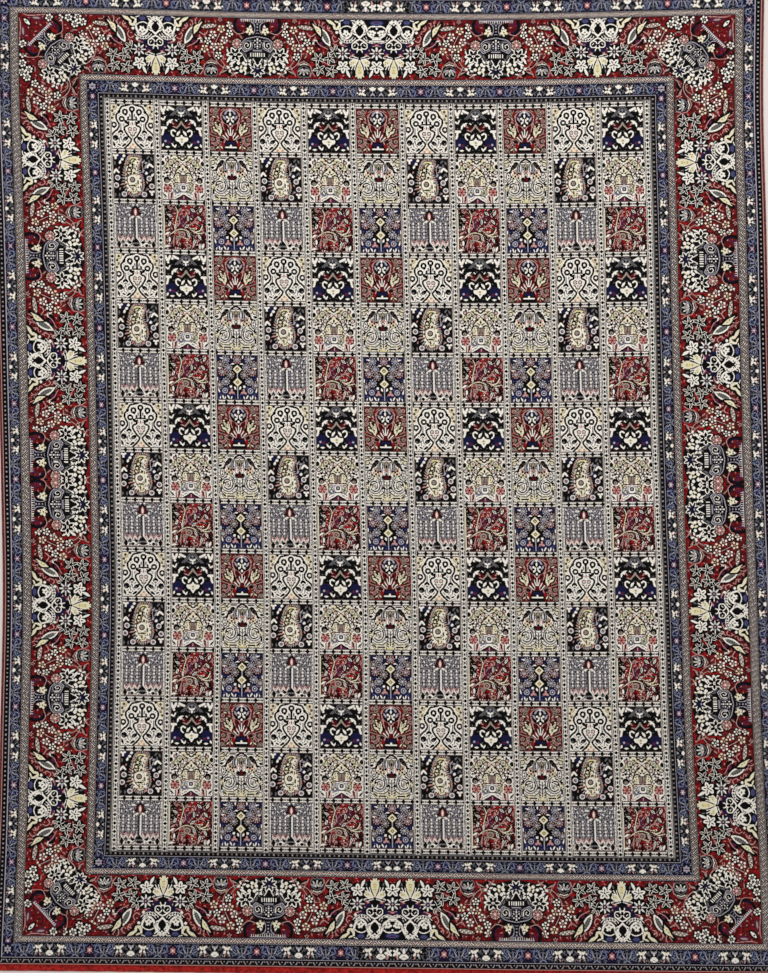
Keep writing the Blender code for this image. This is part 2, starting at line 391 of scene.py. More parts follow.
def boteh_panel():
    """A black panel: a flecked cream boteh with slim pale and rosy rays, among rings and white leaves."""
    t = panel(BLACK, pair=False)
    boteh = ((0, -18.6), (4, -16.8), (7.4, -12), (8.2, -6), (7, -0.6), (4.8, 4.4), (4, 9), (4.8, 13),
             (6.2, 16), (5.2, 19.2), (1.4, 20.6), (-3.2, 19.8), (-6.2, 16), (-7.8, 10), (-8.8, 4),
             (-9.4, -2), (-9, -9), (-6.4, -14.8), (-3, -17.8))
    t.dots(NAVY, 3, (10.8, 4), (-13.6, 19))
    # the rays, just off its edge and slanting away from its middle at (-1, 1)
    rays = 47
    xs, ys = np.array(boteh + boteh[:1], float).T
    share = np.linspace(0, 1, rays + 1)[:-1]
    from_middle = smooth_through(xs, share) + 1, smooth_through(ys, share) - 1
    for i, (right, up) in enumerate(zip(*from_middle)):
        ray = right * 1.13 - 1, up * 1.04 + 1, np.degrees(np.arctan2(right, up)) + 20
        t.leaves((BEIGE, LILAC, BEIGE, PINK)[i % 4], 1.2, 4.6, ray)
    t.at(-0.1, 0.1, size=0.98)
    t.patch(BROWN, *boteh)
    t.at(-0.1, 0.1, size=0.95)
    t.patch(CREAM, *boteh)
    t.at()
    t.leaves(LEMON, 3.4, 9, (0, 17.6, 90))
    t.scatter(BROWN, [CREAM], 0.9, 2.4, 3.5, 71)
    t.leaves(WHITE, 2.4, 7, (4.2, -12.4, -40), (-5.6, -12, 30))
    t.lines(WHITE, 1.6, [(3, -14), (5.4, -8), (4.6, -1), (2, 6), (1.4, 12), (2.6, 17)],
            [(-5, -12), (-7.6, -6), (-7.4, 2)])
    t.dots(BROWN, 0.8, (6.2, -10), (6.8, -6), (6, -2), (4.6, 2), (3.4, 6), (2.8, 10), (3.8, 14), (4.8, 17),
           (-7, 11), (-5.6, 15.6), (-8, -8), (-8, -4))
    t.dots(BROWN, 0.8, (3.4, -15.2), (-3.6, -15.8), (-6.6, -12), (-8, 0), (-7.8, 4), (1.6, -13.6), (3.6, -11))
    t.leaves(BLACK, 1.4, 4.4, (3, 2.4, 10), (1.4, 7.4, -10), (4, -6, 0), (0.4, 15.6, 30), (-5.8, 12.4, 20))
    t.rings(BLACK, 1.9, 1.1, (-3.4, 10.6), (-4.6, 6.4))
    t.lines(BLACK, 1.0, [(-3.4, 15.4), (-1.4, 17.4), (1.4, 17.6), (2.4, 16.4)],
            [(-1.2, 14), (-0.8, 9.6), (-2.4, 6), (-2.4, 3)])
    t.dots(BROWN, 1.4, (-3.4, 2.2), (-5.6, 0.6), (-3.6, 14), (0.4, 3.2))
    t.lines(MOSS, 0.9, [(-6.2, 12), (-5, 15.6), (-3.2, 17.6)], [(0.2, 8), (0.4, 12)],
            [(2.6, -2), (3, -7), (0.8, -10.6)])
    t.lines(BROWN, 0.9, [(-6.6, 8), (-7, 2), (-7, -5), (-4.6, -10.6), (-1, -13.2)])
    t.dots(CREAM, 4.8, (-1.8, -3.4))
    t.dots(BLACK, 2.9, (-1.8, -3.4))
    t.rings(WHITE, 3.8, 1.3, (-1.8, -3.4))
    t.petals(BEIGE, 6, 0.4, 2.3, 1.1, (-1.8, -3.4, 0))
    t.leaves(BLACK, 1.6, 8, (-1.4, -9.4, 90))
    t.leaves(BROWN, 1.3, 5, (-1.6, -12.8, 0))
    rings = (-16.6, -1.6), (-18.2, -9.2), (-10.4, -18), (9.6, -18), (15, -1.9), (17.4, -9.6)
    t.dots(LILAC, 2.7, *rings)
    t.rings(WHITE, 2.2, 0.6, *rings)
    t.dots(BLACK, 1.25, *rings)
    t.dots(PINK, 0.5, *rings)
    t.lines(BEIGE, 0.8, [(10.6, 16.4), (8.6, 12.4), (9, 7.4), (8.4, 4.6)],
            [(11.8, 14.6), (12.4, 10.8), (10.4, 8.2)])
    t.leaves(LILAC, 1.4, 4.4, (9.4, 14.8, 60), (12.4, 13.6, 80), (9.6, 5.6, 30), (11.6, 9.8, 20))
    t.petals(WHITE, 3, 0, 3.2, 2.2, (-18, 20, 180), (17.2, -15.8, 180))
    t.leaves(GREY, 1.8, 4.4, (14.4, 19.2, 40), (18, 18, -20), (7.2, 19.4, 10), (15.4, 15, 0))
    t.dots(WHITE, 1.4, (-9.6, 20.4), (12.4, 3.4), (-11.4, 17))
    t.leaves(WHITE, 2.2, 4.4, (-13.6, 14, 20), (18.4, 1.6, 40))
    t.lines(WHITE, 2.0, [(-20, 3.6), (-17.8, 6.4), (-15.4, 3.8)], [(13.6, 9.6), (15.8, 12.4), (19, 10)])
    t.leaves(GREY, 1.5, 4.2, (-19.4, -18.8, 0), (-15.2, -19, 0), (16.6, 5.6, 30), (-18.8, 13, 0),
             (18.4, 6, -20), (12, -13, 20))
    t.leaves(PINK, 1.1, 3.2, (-14.6, 8.6, 30), (-12.6, -8, 60), (12.8, -6, -30), (-14.4, -12.6, 20),
             (4.6, -18, 30), (13.4, -12.6, 60))
    t.lines(BEIGE, 0.8, [(20.8, 21), (20.8, -21.6)], [(-20.8, 21), (-20.8, -21.6)])
    return t.knots


def vase_panel():
    """An ivory panel netted in dark lines: little rings over a ribbed vase, red flowers and a plum foot."""
    t = panel(WHITE)
    t.dots(CREAM, 4.4, (14, 12), (6, 18), (5.6, 0), (8.6, -9), (3, 9))
    t.leaves(BLACK, 2.8, 4.2, (19.4, 20.8, 0))
    t.leaves(BLACK, 3.8, 5.6, (19.8, 14.2, 0))
    t.leaves(BLACK, 1.8, 3.4, (11, 21.2, 90), (7.4, 18.4, 10), (14.6, 20, 40))
    t.lines(BLACK, 1.1, [(0, 17), (2, 19), (5.6, 21.8)], [(0, 14), (2.8, 11), (5.4, 8)],
            [(0, 20.6), (2.8, 22)])
    t.lines(BROWN, 1.0, [(2.6, 15.6), (5.6, 17), (9, 19)], [(12, 18.6), (15.6, 14.6), (16.4, 11.4)],
            [(5.4, 8), (8, 4.8)])
    t.leaves(BLACK, 1.8, 3.2, (1.4, 18, 30), (1.6, 5.8, 60), (8.2, 14.4, 40))
    t.rings(BLACK, 1.9, 1.0, (5.6, 14), (8.6, 8.2), (18.6, 8.4))
    t.rings(BROWN, 2.7, 1.0, (11.4, 15.4))
    t.rings(BROWN, 1.6, 0.9, (15.6, 17.6), (13.4, 6.2), (3.2, 20.4))
    t.dots(MOSS, 1.4, (13.4, 12.2), (17.4, 11.4), (11.4, 15.4))
    t.dots(BLACK, 1.3, (10.6, 11.8), (3.4, 10.8), (16.4, 4.8), (15.8, 8.6), (12.6, 9.4))
    t.dots(BROWN, 1.2, (5, 10), (11, 5.2), (18.8, 4), (12.6, 2.6), (19.8, 0.6), (15.4, 1.6), (7.4, 11.4))
    t.leaves(BLACK, 1.9, 4.0, (0, 8.2, 0))
    t.dots(WHITE, 1.2, (2.5, 7.6), (6.6, 11.2))
    t.dots(PINK, 0.9, (5.6, 14), (8.6, 8.2), (18.6, 8.4), (2, 12.8), (15.6, 17.6))
    t.lines(BLACK, 1.5, [(2.4, 3.8), (5, 4.6), (7.8, 3.6), (9.4, 0)])
    t.lines(BROWN, 1.0, [(9.6, 3.6), (12, 4.4), (13.4, 1.6), (12.6, -1)])
    t.patch(BEIGE, (-4, 2.4), (4, 2.4), (3.4, -4.4), (-3.4, -4.4), smooth=False)
    t.lines(BROWN, 0.8, [(0, 1.8), (0, -3.8)], [(1.7, 1.8), (1.6, -3.8)], [(3.3, 1.8), (3.1, -3.8)])
    t.lines(BLACK, 1.0, [(0, 2.4), (4, 2.4)], [(7.8, -1), (8.6, -4)])
    t.dots(BLACK, 3.3, (16.4, -2.6))
    t.dots(BEIGE, 1.6, (16.2, -3.8))
    t.dots(BLACK, 0.6, (16.2, -3.8))
    t.rings(BROWN, 1.5, 0.9, (11, -2.6))
    t.lines(MAROON, 1.2, [(0, -5), (4, -5.4), (8, -5)], [(8, -5.4), (10, -6.8), (8.4, -8.4)])
    t.lines(BLACK, 1.0, [(12.6, -6.4), (15, -7.4), (19, -7)], [(3.6, -7.6), (7.6, -7)])
    t.dots(BLACK, 2.2, (0, -10))
    t.dots(LILAC, 0.8, (0, -10))
    t.rings(GREY, 4.0, 0.7, (0, -10.6))
    t.lines(GREY, 1.0, [(4.6, -7.4), (6.6, -10), (5.4, -13), (2.6, -14.6)],
            [(9.6, -9), (9.4, -12.6), (6.8, -15.6)])
    t.leaves(LILAC, 1.5, 4.4, (4.2, -7.8, 60))
    t.dots(MAROON, 4.4, (15.6, -11.2))
    t.petals(PINK, 6, 0.8, 4.4, 2.2, (15.6, -11.2, 0))
    t.petals(RED, 6, 0.8, 2.8, 1.0, (15.6, -11.2, 30))
    t.dots(BLACK, 0.9, (15.6, -11.2), (12.4, -8.6), (18.8, -14))
    t.lines(PINK, 0.9, [(10.4, -15), (10, -22)], [(13.8, -16), (13.6, -22)])
    t.lines(MAROON, 0.9, [(11.6, -14.6), (11.2, -22)], [(12.6, -16), (12.4, -22)], [(15, -16.6), (14.8, -22)])
    t.leaves(BLACK, 1.9, 5.6, (18.7, -18.4, 45))
    t.patch(BLACK, (-8, -22.4), (-4, -19.2), (0, -17), (4, -19.2), (8, -22.4))
    t.patch(PLUM, (-5, -22.4), (-2, -19.6), (0, -18.4), (2, -19.6), (5, -22.4))
    t.leaves(PINK, 1.2, 3.4, (0, -20, 0))
    t.lines(BLACK, 0.9, [(0.6, -14.2), (5, -15), (8.6, -17)])
    t.at()
    t.rings(SKY, 3.4, 1.0, (-6.8, -12.6))
    t.rings(BROWN, 1.8, 0.9, (-6.2, -13))
    t.petals(MOSS, 4, 0.4, 3.8, 2.0, (6.8, -12.2, 20))
    t.dots(BROWN, 1.0, (6.8, -12.2))
    t.at(pair=True)
    t.scatter(BLACK, [CREAM, WHITE], 0.9, 2.4, 4.4, 5)
    t.echo(CREAM, BROWN, 4)
    t.echo(WHITE, BROWN, 4)
    return t.knots


def tree_panel():
    """A cream panel netted in black: a trunk with two spirals, a dark crown, serrated leaves and bars."""
    t = panel(WHITE)
    t.dots(CREAM, 4.4, (19, 19), (14, -19), (4, -19), (10, 5), (20, -8))
    t.dots(MOSS, 2.2, (6.6, 15.6), (9.4, 9.4), (2.4, 15))
    t.lines(BLACK, 1.7, [(6, 20.8), (11, 20.8)], [(6, -19.8), (12.4, -19.8)])
    t.lines(BLACK, 1.9, [(0, 21.8), (2.4, 20.6), (5, 18.4)])
    t.lines(PLUM, 1.1, [(0, 19), (3, 18.4)])
    t.lines(BLACK, 1.1, [(13.4, 22), (15.6, 19), (20.4, 17.6)], [(14, 18), (16.6, 20.8)],
            [(17, 22), (20.4, 20.2)])
    t.leaves(BLACK, 4.4, 10.5, (11.6, 14.3, 137))
    t.leaves(BLACK, 2.0, 5, (9.6, 18, 100), (14.8, 10.2, 160))
    t.dots(BROWN, 0.9, (10, 15.6), (12.6, 13), (15.2, 14.8))
    t.leaves(BLACK, 2.6, 4.4, (19.2, 11, 110))
    t.lines(BLACK, 1.0, [(16.4, 16.4), (18, 14), (20.4, 14.4)], [(16.6, 9), (18.4, 8), (20.4, 8.4)])
    for x, wide in ((0, 5.0), (4.8, 3.6), (7.6, 2.6)):
        t.leaves(BLACK, wide, 12, (x, 12.2, 0))
        t.leaves(LILAC if x else BEIGE, wide - 1.5, 10, (x, 12.2, 0))
    t.leaves(WHITE, 1.2, 7.4, (4.8, 12.6, 0))
    t.leaves(BLACK, 1.9, 5, (0, 12, 0))
    t.dots(PINK, 1.1, (9.8, 7.8), (12, 9.8), (7.6, 5), (13, 5.8), (4.6, 6.2), (2, 8.4))
    t.dots(BLACK, 1.1, (8.6, 6.6), (11, 7.8), (6, 7.2), (15, 8.6), (14.4, 3.8), (10.6, 4.6), (12.4, 2.4),
           (7.6, 2.8))
    t.patch(BLACK, *mirrored((0, 6.8), (1.6, 3.2), (3.6, 3.6), (5.4, 1.8), (4.2, -1.6)), smooth=False)
    t.patch(MAROON, *mirrored((0, 4.8), (1.8, 1.4), (2.8, -0.6)), smooth=False)
    t.ovals(BLACK, 5.2, 9.6, (17.3, 4.0, 0))
    t.ovals(WHITE, 3.2, 7.4, (17.3, 4.0, 0))
    t.dots(BROWN, 0.9, (17.3, 5.4), (17.3, 2.4))
    t.lines(GREY, 1.3, [(9.6, 1.6), (6.6, -2), (5, -6), (5.2, -10), (8, -13.8), (12, -15), (16.6, -13),
                        (18.6, -8)])
    t.lines(BLACK, 1.3, [(7.8, -3), (6.8, -7), (8.4, -11.4), (12, -12.8), (15.6, -10.8)],
            [(16.4, -7.6), (15.6, -4), (12.4, -2.6), (9.6, -4)])
    t.lines(BROWN, 1.2, [(9.4, -5.8), (9.6, -9), (12, -10.6)], [(14.2, -8.4), (13.6, -5.4), (11.6, -5)])
    t.leaves(BLACK, 1.6, 3.6, (11.4, -7.8, 20), (18.2, -2.4, -20), (15.4, -6, 60))
    t.rings(GREY, 1.5, 0.8, (19, -16.4), (4.6, -1.6))
    t.dots(MOSS, 0.9, (12, -8), (10.2, -1.4), (13.8, -0.6))
    t.lines(BLACK, 1.1, [(2.4, -2.6), (3.2, -6), (2.4, -10.6), (4, -14.4), (7.6, -17)],
            [(13, 0.4), (16.4, -2.2), (18.8, -5)])
    t.lines(BLACK, 0.9, [(19.6, -0.4), (18.4, -3)], [(11, -17), (14, -17.2), (16.4, -15.4)])
    t.leaves(BLACK, 1.9, 4.0, (3.8, -9.4, -25), (19.2, -4.4, 30), (15.4, -19, 40))
    t.lines(BLACK, 1.5, [(0, -4), (0, -18)])
    t.leaves(BLACK, 1.1, 3.8, (1.7, -6.4, 40), (1.7, -10, 40), (1.8, -14, 50))
    t.leaves(BLACK, 2.4, 6.4, (19, -13, 0))
    t.leaves(GREY, 1.4, 4.4, (9.6, -17.2, 80), (2.8, -18.6, 60), (17, -18, -30))
    t.patch(LEMON, (-4.4, -22.4), (0, -19.8), (4.4, -22.4), smooth=False)
    t.scatter(BLACK, [WHITE, CREAM], 1.1, 2.4, 2.7, 11)
    t.echo(WHITE, BROWN, 3)
    t.echo(CREAM, BROWN, 3)
    return t.knots


def bead_panel():
    """A grey panel: beaded white columns under speckled leaves, a dark tulip and a row of rosy arches."""
    t = panel(GREY)
    t.scatter(BLACK, [GREY], 1.6, 3.2, 2.2, 21)
    t.scatter(WHITE, [GREY], 1.2, 2.2, 2.9, 22)
    t.patch(BLACK, (2, 8), (19.6, 10), (19.6, -9.6), (2, -9.6), smooth=False)
    t.scatter(GREY, [BLACK], 1.2, 3.2, 1.8, 23)
    t.scatter(LILAC, [BLACK, GREY], 0.8, 2.4, 2.4, 25)
    columns = (5.7, 11.0, 16.3)
    t.lines(GREY, 1.6, *[[(x, 9), (x, -10)] for x in columns])
    t.lines(BEIGE, 0.7, *[[(x, 9), (x, -10)] for x in columns])
    t.dots(WHITE, 0.95, *[(x, 7 - 3.4 * i) for x in columns for i in range(5)])
    t.lines(WHITE, 1.4, [(20.6, 21.6), (20.6, -21.6)])
    t.patch(BLACK, *mirrored((0, 21), (3.2, 18), (4.6, 13.6), (3, 9.6), (0, 8)))
    t.rings(MAROON, 3.3, 1.2, (0, 14))
    t.leaves(PINK, 3.0, 8.6, (0, 14, 0))
    t.leaves(WHITE, 1.6, 6, (0, 14, 0))
    t.leaves(WHITE, 2.4, 5, (6.2, 18, 80), (3, 9, 110))
    t.leaves(WHITE, 1.2, 3.2, (11, 18, 60), (15.6, 16, 20), (9, 14, -40), (13, 12.6, 50), (18, 12, 0),
             (18, 19.6, 70))
    t.dots(WHITE, 0.9, (2, 21.6), (6.4, 11.6))
    t.lines(PINK, 1.1, *[[(x - 2.5, -10), (x, -14.2), (x + 2.5, -10)] for x in (5.4, 10.6, 15.8)])
    t.lines(WHITE, 0.9, *[[(x - 2.5, -12), (x, -15.6), (x + 2.5, -12)] for x in (5.4, 10.6, 15.8)])
    t.patch(BEIGE, (4, -15.6), (20, -15.6), (20, -22), (0, -22), smooth=False)
    t.patch(WHITE, (5, -16.6), (19, -16.6), (19, -21), (2, -21), smooth=False)
    t.scatter(BROWN, [WHITE], 1.0, 2.2, 2.8, 24)
    t.patch(BLACK, (0, -11.6), (4.6, -16.4), (-4.6, -16.4), smooth=False)
    t.lines(GREY, 0.9, [(0, -16.8), (4, -17.6), (6.4, -20.4)])
    t.leaves(BLACK, 2.4, 10, (0, -19.2, 90))
    t.leaves(BLACK, 3.6, 7.4, (17.2, -18.4, 0))
    t.leaves(BLACK, 3.0, 4.2, (10.4, -19.4, 90), (6.8, -16.4, 90), (13.4, -16.6, 60))
    t.dots(GREY, 1.0, (13.4, -20), (13.6, -17), (3.6, -21.4), (8, -21.8))
    t.at()
    t.lines(BLACK, 1.4, [(-1, 9), (-1, -12)])
    t.lines(WHITE, 1.5, [(0.7, 8), (0.7, -12)])
    t.lines(WHITE, 1.0, [(0.9, -12), (3, -15), (5.4, -19.6)])
    return t.knots


def branch_panel():
    """A red panel in dark and bright patches: cream, rose and grey leaves along thin slanting branches."""
    t = panel(MAROON, pair=False)
    t.patch(RED, (-2, 22), (7, 22), (5, 15), (0, 11), (-6, 10), (-7, 14), (-3, 18))
    t.patch(RED, (-13, 14), (-9, 12), (-8, 4), (-12, 1), (-13, 6))
    t.patch(RED, (5, 4), (13, 7), (18, 2), (12, -1), (6, -0.4))
    t.patch(RED, (-11, -4), (-5, -5), (-5, -12), (-9, -17), (-12, -12))
    t.patch(RED, (-3, -11), (4, -10.6), (7, -15), (3, -21), (-2, -17))
    t.patch(RED, (15, 22), (21, 22), (21, 8), (17, 14))
    t.leaves(PLUM, 5, 13, (-3, 6.4, 0))
    t.leaves(PLUM, 3.4, 8, (8, 13.4, 20))
    t.dots(BLACK, 3.4, (-19, 18.6), (-17, 14.6), (-18.6, 5.4), (-5.4, 20.4), (-16.6, 8.8))
    t.lines(BLACK, 3.0, [(3, -4), (7.4, -7.4), (8.6, -13.4)], [(12.6, 3.6), (16.4, 0.6)],
            [(17, -9), (18.6, -16)])
    t.leaves(BLACK, 2.2, 8, (-13.6, -11, 0), (-3, -19, 0), (13, 20, 30), (-12.6, -20, 60), (11, -20, 70))
    t.scatter(BLACK, [RED, MAROON], 1.1, 2.8, 4.4, 32)
    t.lines(CREAM, 0.8, [(-13.4, -6.6), (-9.4, -3.6), (-4, -2), (0.4, -2.8), (4, -4.6)],
            [(5.6, -1.4), (9.6, -1)])
    t.lines(CREAM, 1.1, [(10, -4.6), (14.8, -3.2), (17.6, 1.6)])
    t.lines(CREAM, 0.8, [(7, -3), (10.4, -5), (14, -6), (19, -5)],
            [(-9.6, 2), (-8, 9), (-6.6, 15), (-8.6, 20)])
    t.lines(PINK, 0.9, [(5.4, 2.6), (9.6, 6.4), (12.6, 11)], [(-5.6, 10), (-5, 5), (-7, 1)],
            [(-12, -16), (-10.8, -9.6)])
    rose = ((-14.8, 19, -42), (-15, 3, 20), (-18.4, 0.8, 80), (12, 4.6, -40), (19.4, 14, 0), (-8, -15, 10),
            (-11.4, -14, 0))
    t.leaves(PINK, 2.0, 5.8, *rose, (-4.2, 17.4, 38), (-17, -2.6, 60), (2.4, 13.6, -30), (8, -18.6, 20))
    cream = (-14.6, 11.6, 112), (-15, 3, 20), (8.6, 17.4, -50), (16.6, 17.6, 25), (3.4, 9, 0), (14.8, 9, -35)
    cream += (2.2, 1, 52), (-9.4, 0.4, 0), (3.9, -7.6, -20), (14.6, -9.6, -25), (9.2, -15, 10), (14.7, -19, 0)
    t.leaves(BLACK, 4.2, 8.4, *cream[:6])
    t.leaves(WHITE, 2.3, 6.0, *cream, (-15.6, -12.6, 0), (17.6, -18.6, 20), (-17.6, -6.4, 60),
             (-18, -19.4, 80))
    t.leaves(GREY, 1.1, 4.6, *cream[::2], (-4.2, 17.4, 38))
    t.dots(BEIGE, 3.4, (-3, -7.2))
    t.dots(BROWN, 1.9, (-3, -7.2))
    t.dots(PINK, 0.8, (-3, -7.2), (-7, -11.2))
    t.rings(BEIGE, 1.9, 1.0, (-7, -11.2), (3.4, -18.8))
    t.lines(CREAM, 0.8, [(-1.6, -10.6), (1.6, -11.4), (3, -13)], [(-20.6, 21), (-20.6, -21)])
    t.scatter(PINK, [RED, MAROON], 1.7, 3.8, 4.0, 33)
    t.outline(RED, BLACK, [CREAM, PINK, WHITE])
    t.outline(MAROON, BLACK, [CREAM, PINK, WHITE])
    t.scatter(WHITE, [RED, MAROON], 1.6, 3.6, 4.8, 34)
    t.leaves(BLACK, 0.7, 4.4, *cream[1::2], *rose[::2])
    t.outline(RED, MAROON, [PINK, BEIGE, CREAM])
    t.scatter(BEIGE, [PLUM, BLACK], 0.9, 2.4, 3.4, 35)
    return t.knots


def diamond_panel():
    """A navy panel: a pale stem with two cream diamonds, among rosettes, over a row of white buds."""
    t = panel(NAVY)
    t.patch(BLACK, (0, 22), (8, 21), (10, 13), (5, 7), (10, 0), (17, -3), (10, -9), (5, -16), (0, -18),
            smooth=False)
    t.dots(NAVY, 2.4, (6, 17))
    spots = (0, 18), (11.5, 18), (16.8, 12.8), (9, 10), (15, 5.4), (6.9, 2.6), (11.6, -4.2), (18, -7.6)
    t.dots(BLACK, 4.6, *spots)
    for (x, y), dye in zip(spots, (PINK, LILAC, BEIGE, LILAC, PINK, BEIGE, LILAC, BEIGE)):
        for angle in np.arange(9) * 2 * np.pi / 9:
            t.dots(dye, 0.75, (x + 3.3 * np.sin(angle), y + 3.3 * np.cos(angle)))
        t.rings(LILAC, 1.6, 0.7, (x, y))
        t.dots(WHITE, 0.7, (x, y))
    t.lines(LILAC, 1.3, [(0, 4), (0, 0)], [(0, -9), (0, -21)])
    for y in (8.3, -4.7):
        t.patch(CREAM, (0, y + 4.5), (4.5, y), (0, y - 4.5), (-4.5, y), smooth=False)
        t.patch(BROWN, (0, y + 2.2), (2.2, y), (0, y - 2.2), (-2.2, y), smooth=False)
        t.dots(LEMON, 0.8, (0, y))
    t.leaves(WHITE, 1.5, 4, (4.4, 13.6, 90), (15.4, 19.4, 80), (17.8, 9.4, 90), (20, -1.8, 0), (5.6, 20.6, 0))
    t.dots(WHITE, 1.3, (6.6, -9.2))
    t.leaves(WHITE, 2.0, 4.2, (2.5, -10.6, 25))
    t.rings(LILAC, 2.3, 1.1, (12.6, -13.4))
    t.dots(WHITE, 0.7, (12.6, -13.4))
    t.petals(PINK, 3, 0, 3.3, 2.4, (6, -14.8, 0))
    t.leaves(WHITE, 1.5, 4.8, (18.6, -13.4, 15), (14.6, -20, 12), (9.4, -19.6, 30))
    t.leaves(WHITE, 1.2, 3.4, (17.6, -20.4, -10), (12.6, -20.6, -20), (6.4, -20.4, -20))
    t.leaves(BLUE, 1.2, 4, (9.4, -10.4, 40), (3.4, -17, 60), (17, -17.4, 80), (15.6, -11, 30))
    t.scatter(BLUE, [NAVY], 0.8, 2.0, 3.6, 41)
    t.lines(BEIGE, 0.8, [(20.8, 21), (20.8, -21.6)])
    return t.knots


PANELS = (
    (arch_panel, pediment_panel, blossom_panel),
    (boteh_panel, vase_panel, tree_panel),
    (bead_panel, branch_panel, diamond_panel),
)


def dividers(field):
    """Bands between the panels: dark lozenges on ivory across, a chain of dark beads and pale links along."""
    rows, columns = field.shape
    y, x = np.mgrid[:rows, :columns]
    # across: off is how far a knot lies from the middle of its band
    off, near = np.abs(y % PITCH[1] - (DIVIDER[1] - 1) / 2), from_nearest(x, 7, 17)
    between = from_nearest(x, -1.5, 17)
    bead, speck = (between < 1.3) & (off < 2.4), (between > 2.2) & (between < 4) & (off < 1.6)
    here = [off > 5, (off > 3.6) & (off < 4.8), near + off * 1.1 < 5.2, bead, speck]
    band = np.select(here, [BROWN, GREY, BLACK, BLACK, BROWN], WHITE)
    crossways = y % PITCH[1] < DIVIDER[1]
    field[crossways] = band[crossways]
    # along
    off, near = np.abs(x % PITCH[0] - (DIVIDER[0] - 1) / 2), from_nearest(y, 4, 17)
    link = np.hypot(off / 2.8, from_nearest(y, -4.5, 17) / 3.8)
    edges, lozenge = [off > 6, (off > 4) & (off < 5), off > 4], off + near * 0.8 < 3.7
    here = [*edges, lozenge, (link < 1.2) & (link > 0.75), link < 0.5, near < 4.4]
    band = np.select(here, [BROWN, BLACK, WHITE, BLACK, WHITE, BLACK, WHITE], GREY)
    lengthways = x % PITCH[0] < DIVIDER[0]
    field[lengthways] = band[lengthways]


def field_chart():
    """The panels in their bands: three kinds by three, in turn from the upper left."""
    wide, high = PITCH
    field = np.zeros((PANELS_ALONG * high + DIVIDER[1], PANELS_ACROSS * wide + DIVIDER[0]), np.uint8)
    painted = [[paint() for paint in row] for row in PANELS]
    for j in range(PANELS_ALONG):
        for i in range(PANELS_ACROSS):
            foot, left = DIVIDER[1] + high * (PANELS_ALONG - 1 - j), DIVIDER[0] + wide * i
            field[foot : foot + PANEL[1], left : left + PANEL[0]] = painted[j % 3][i % 3]
    dividers(field)
    return field


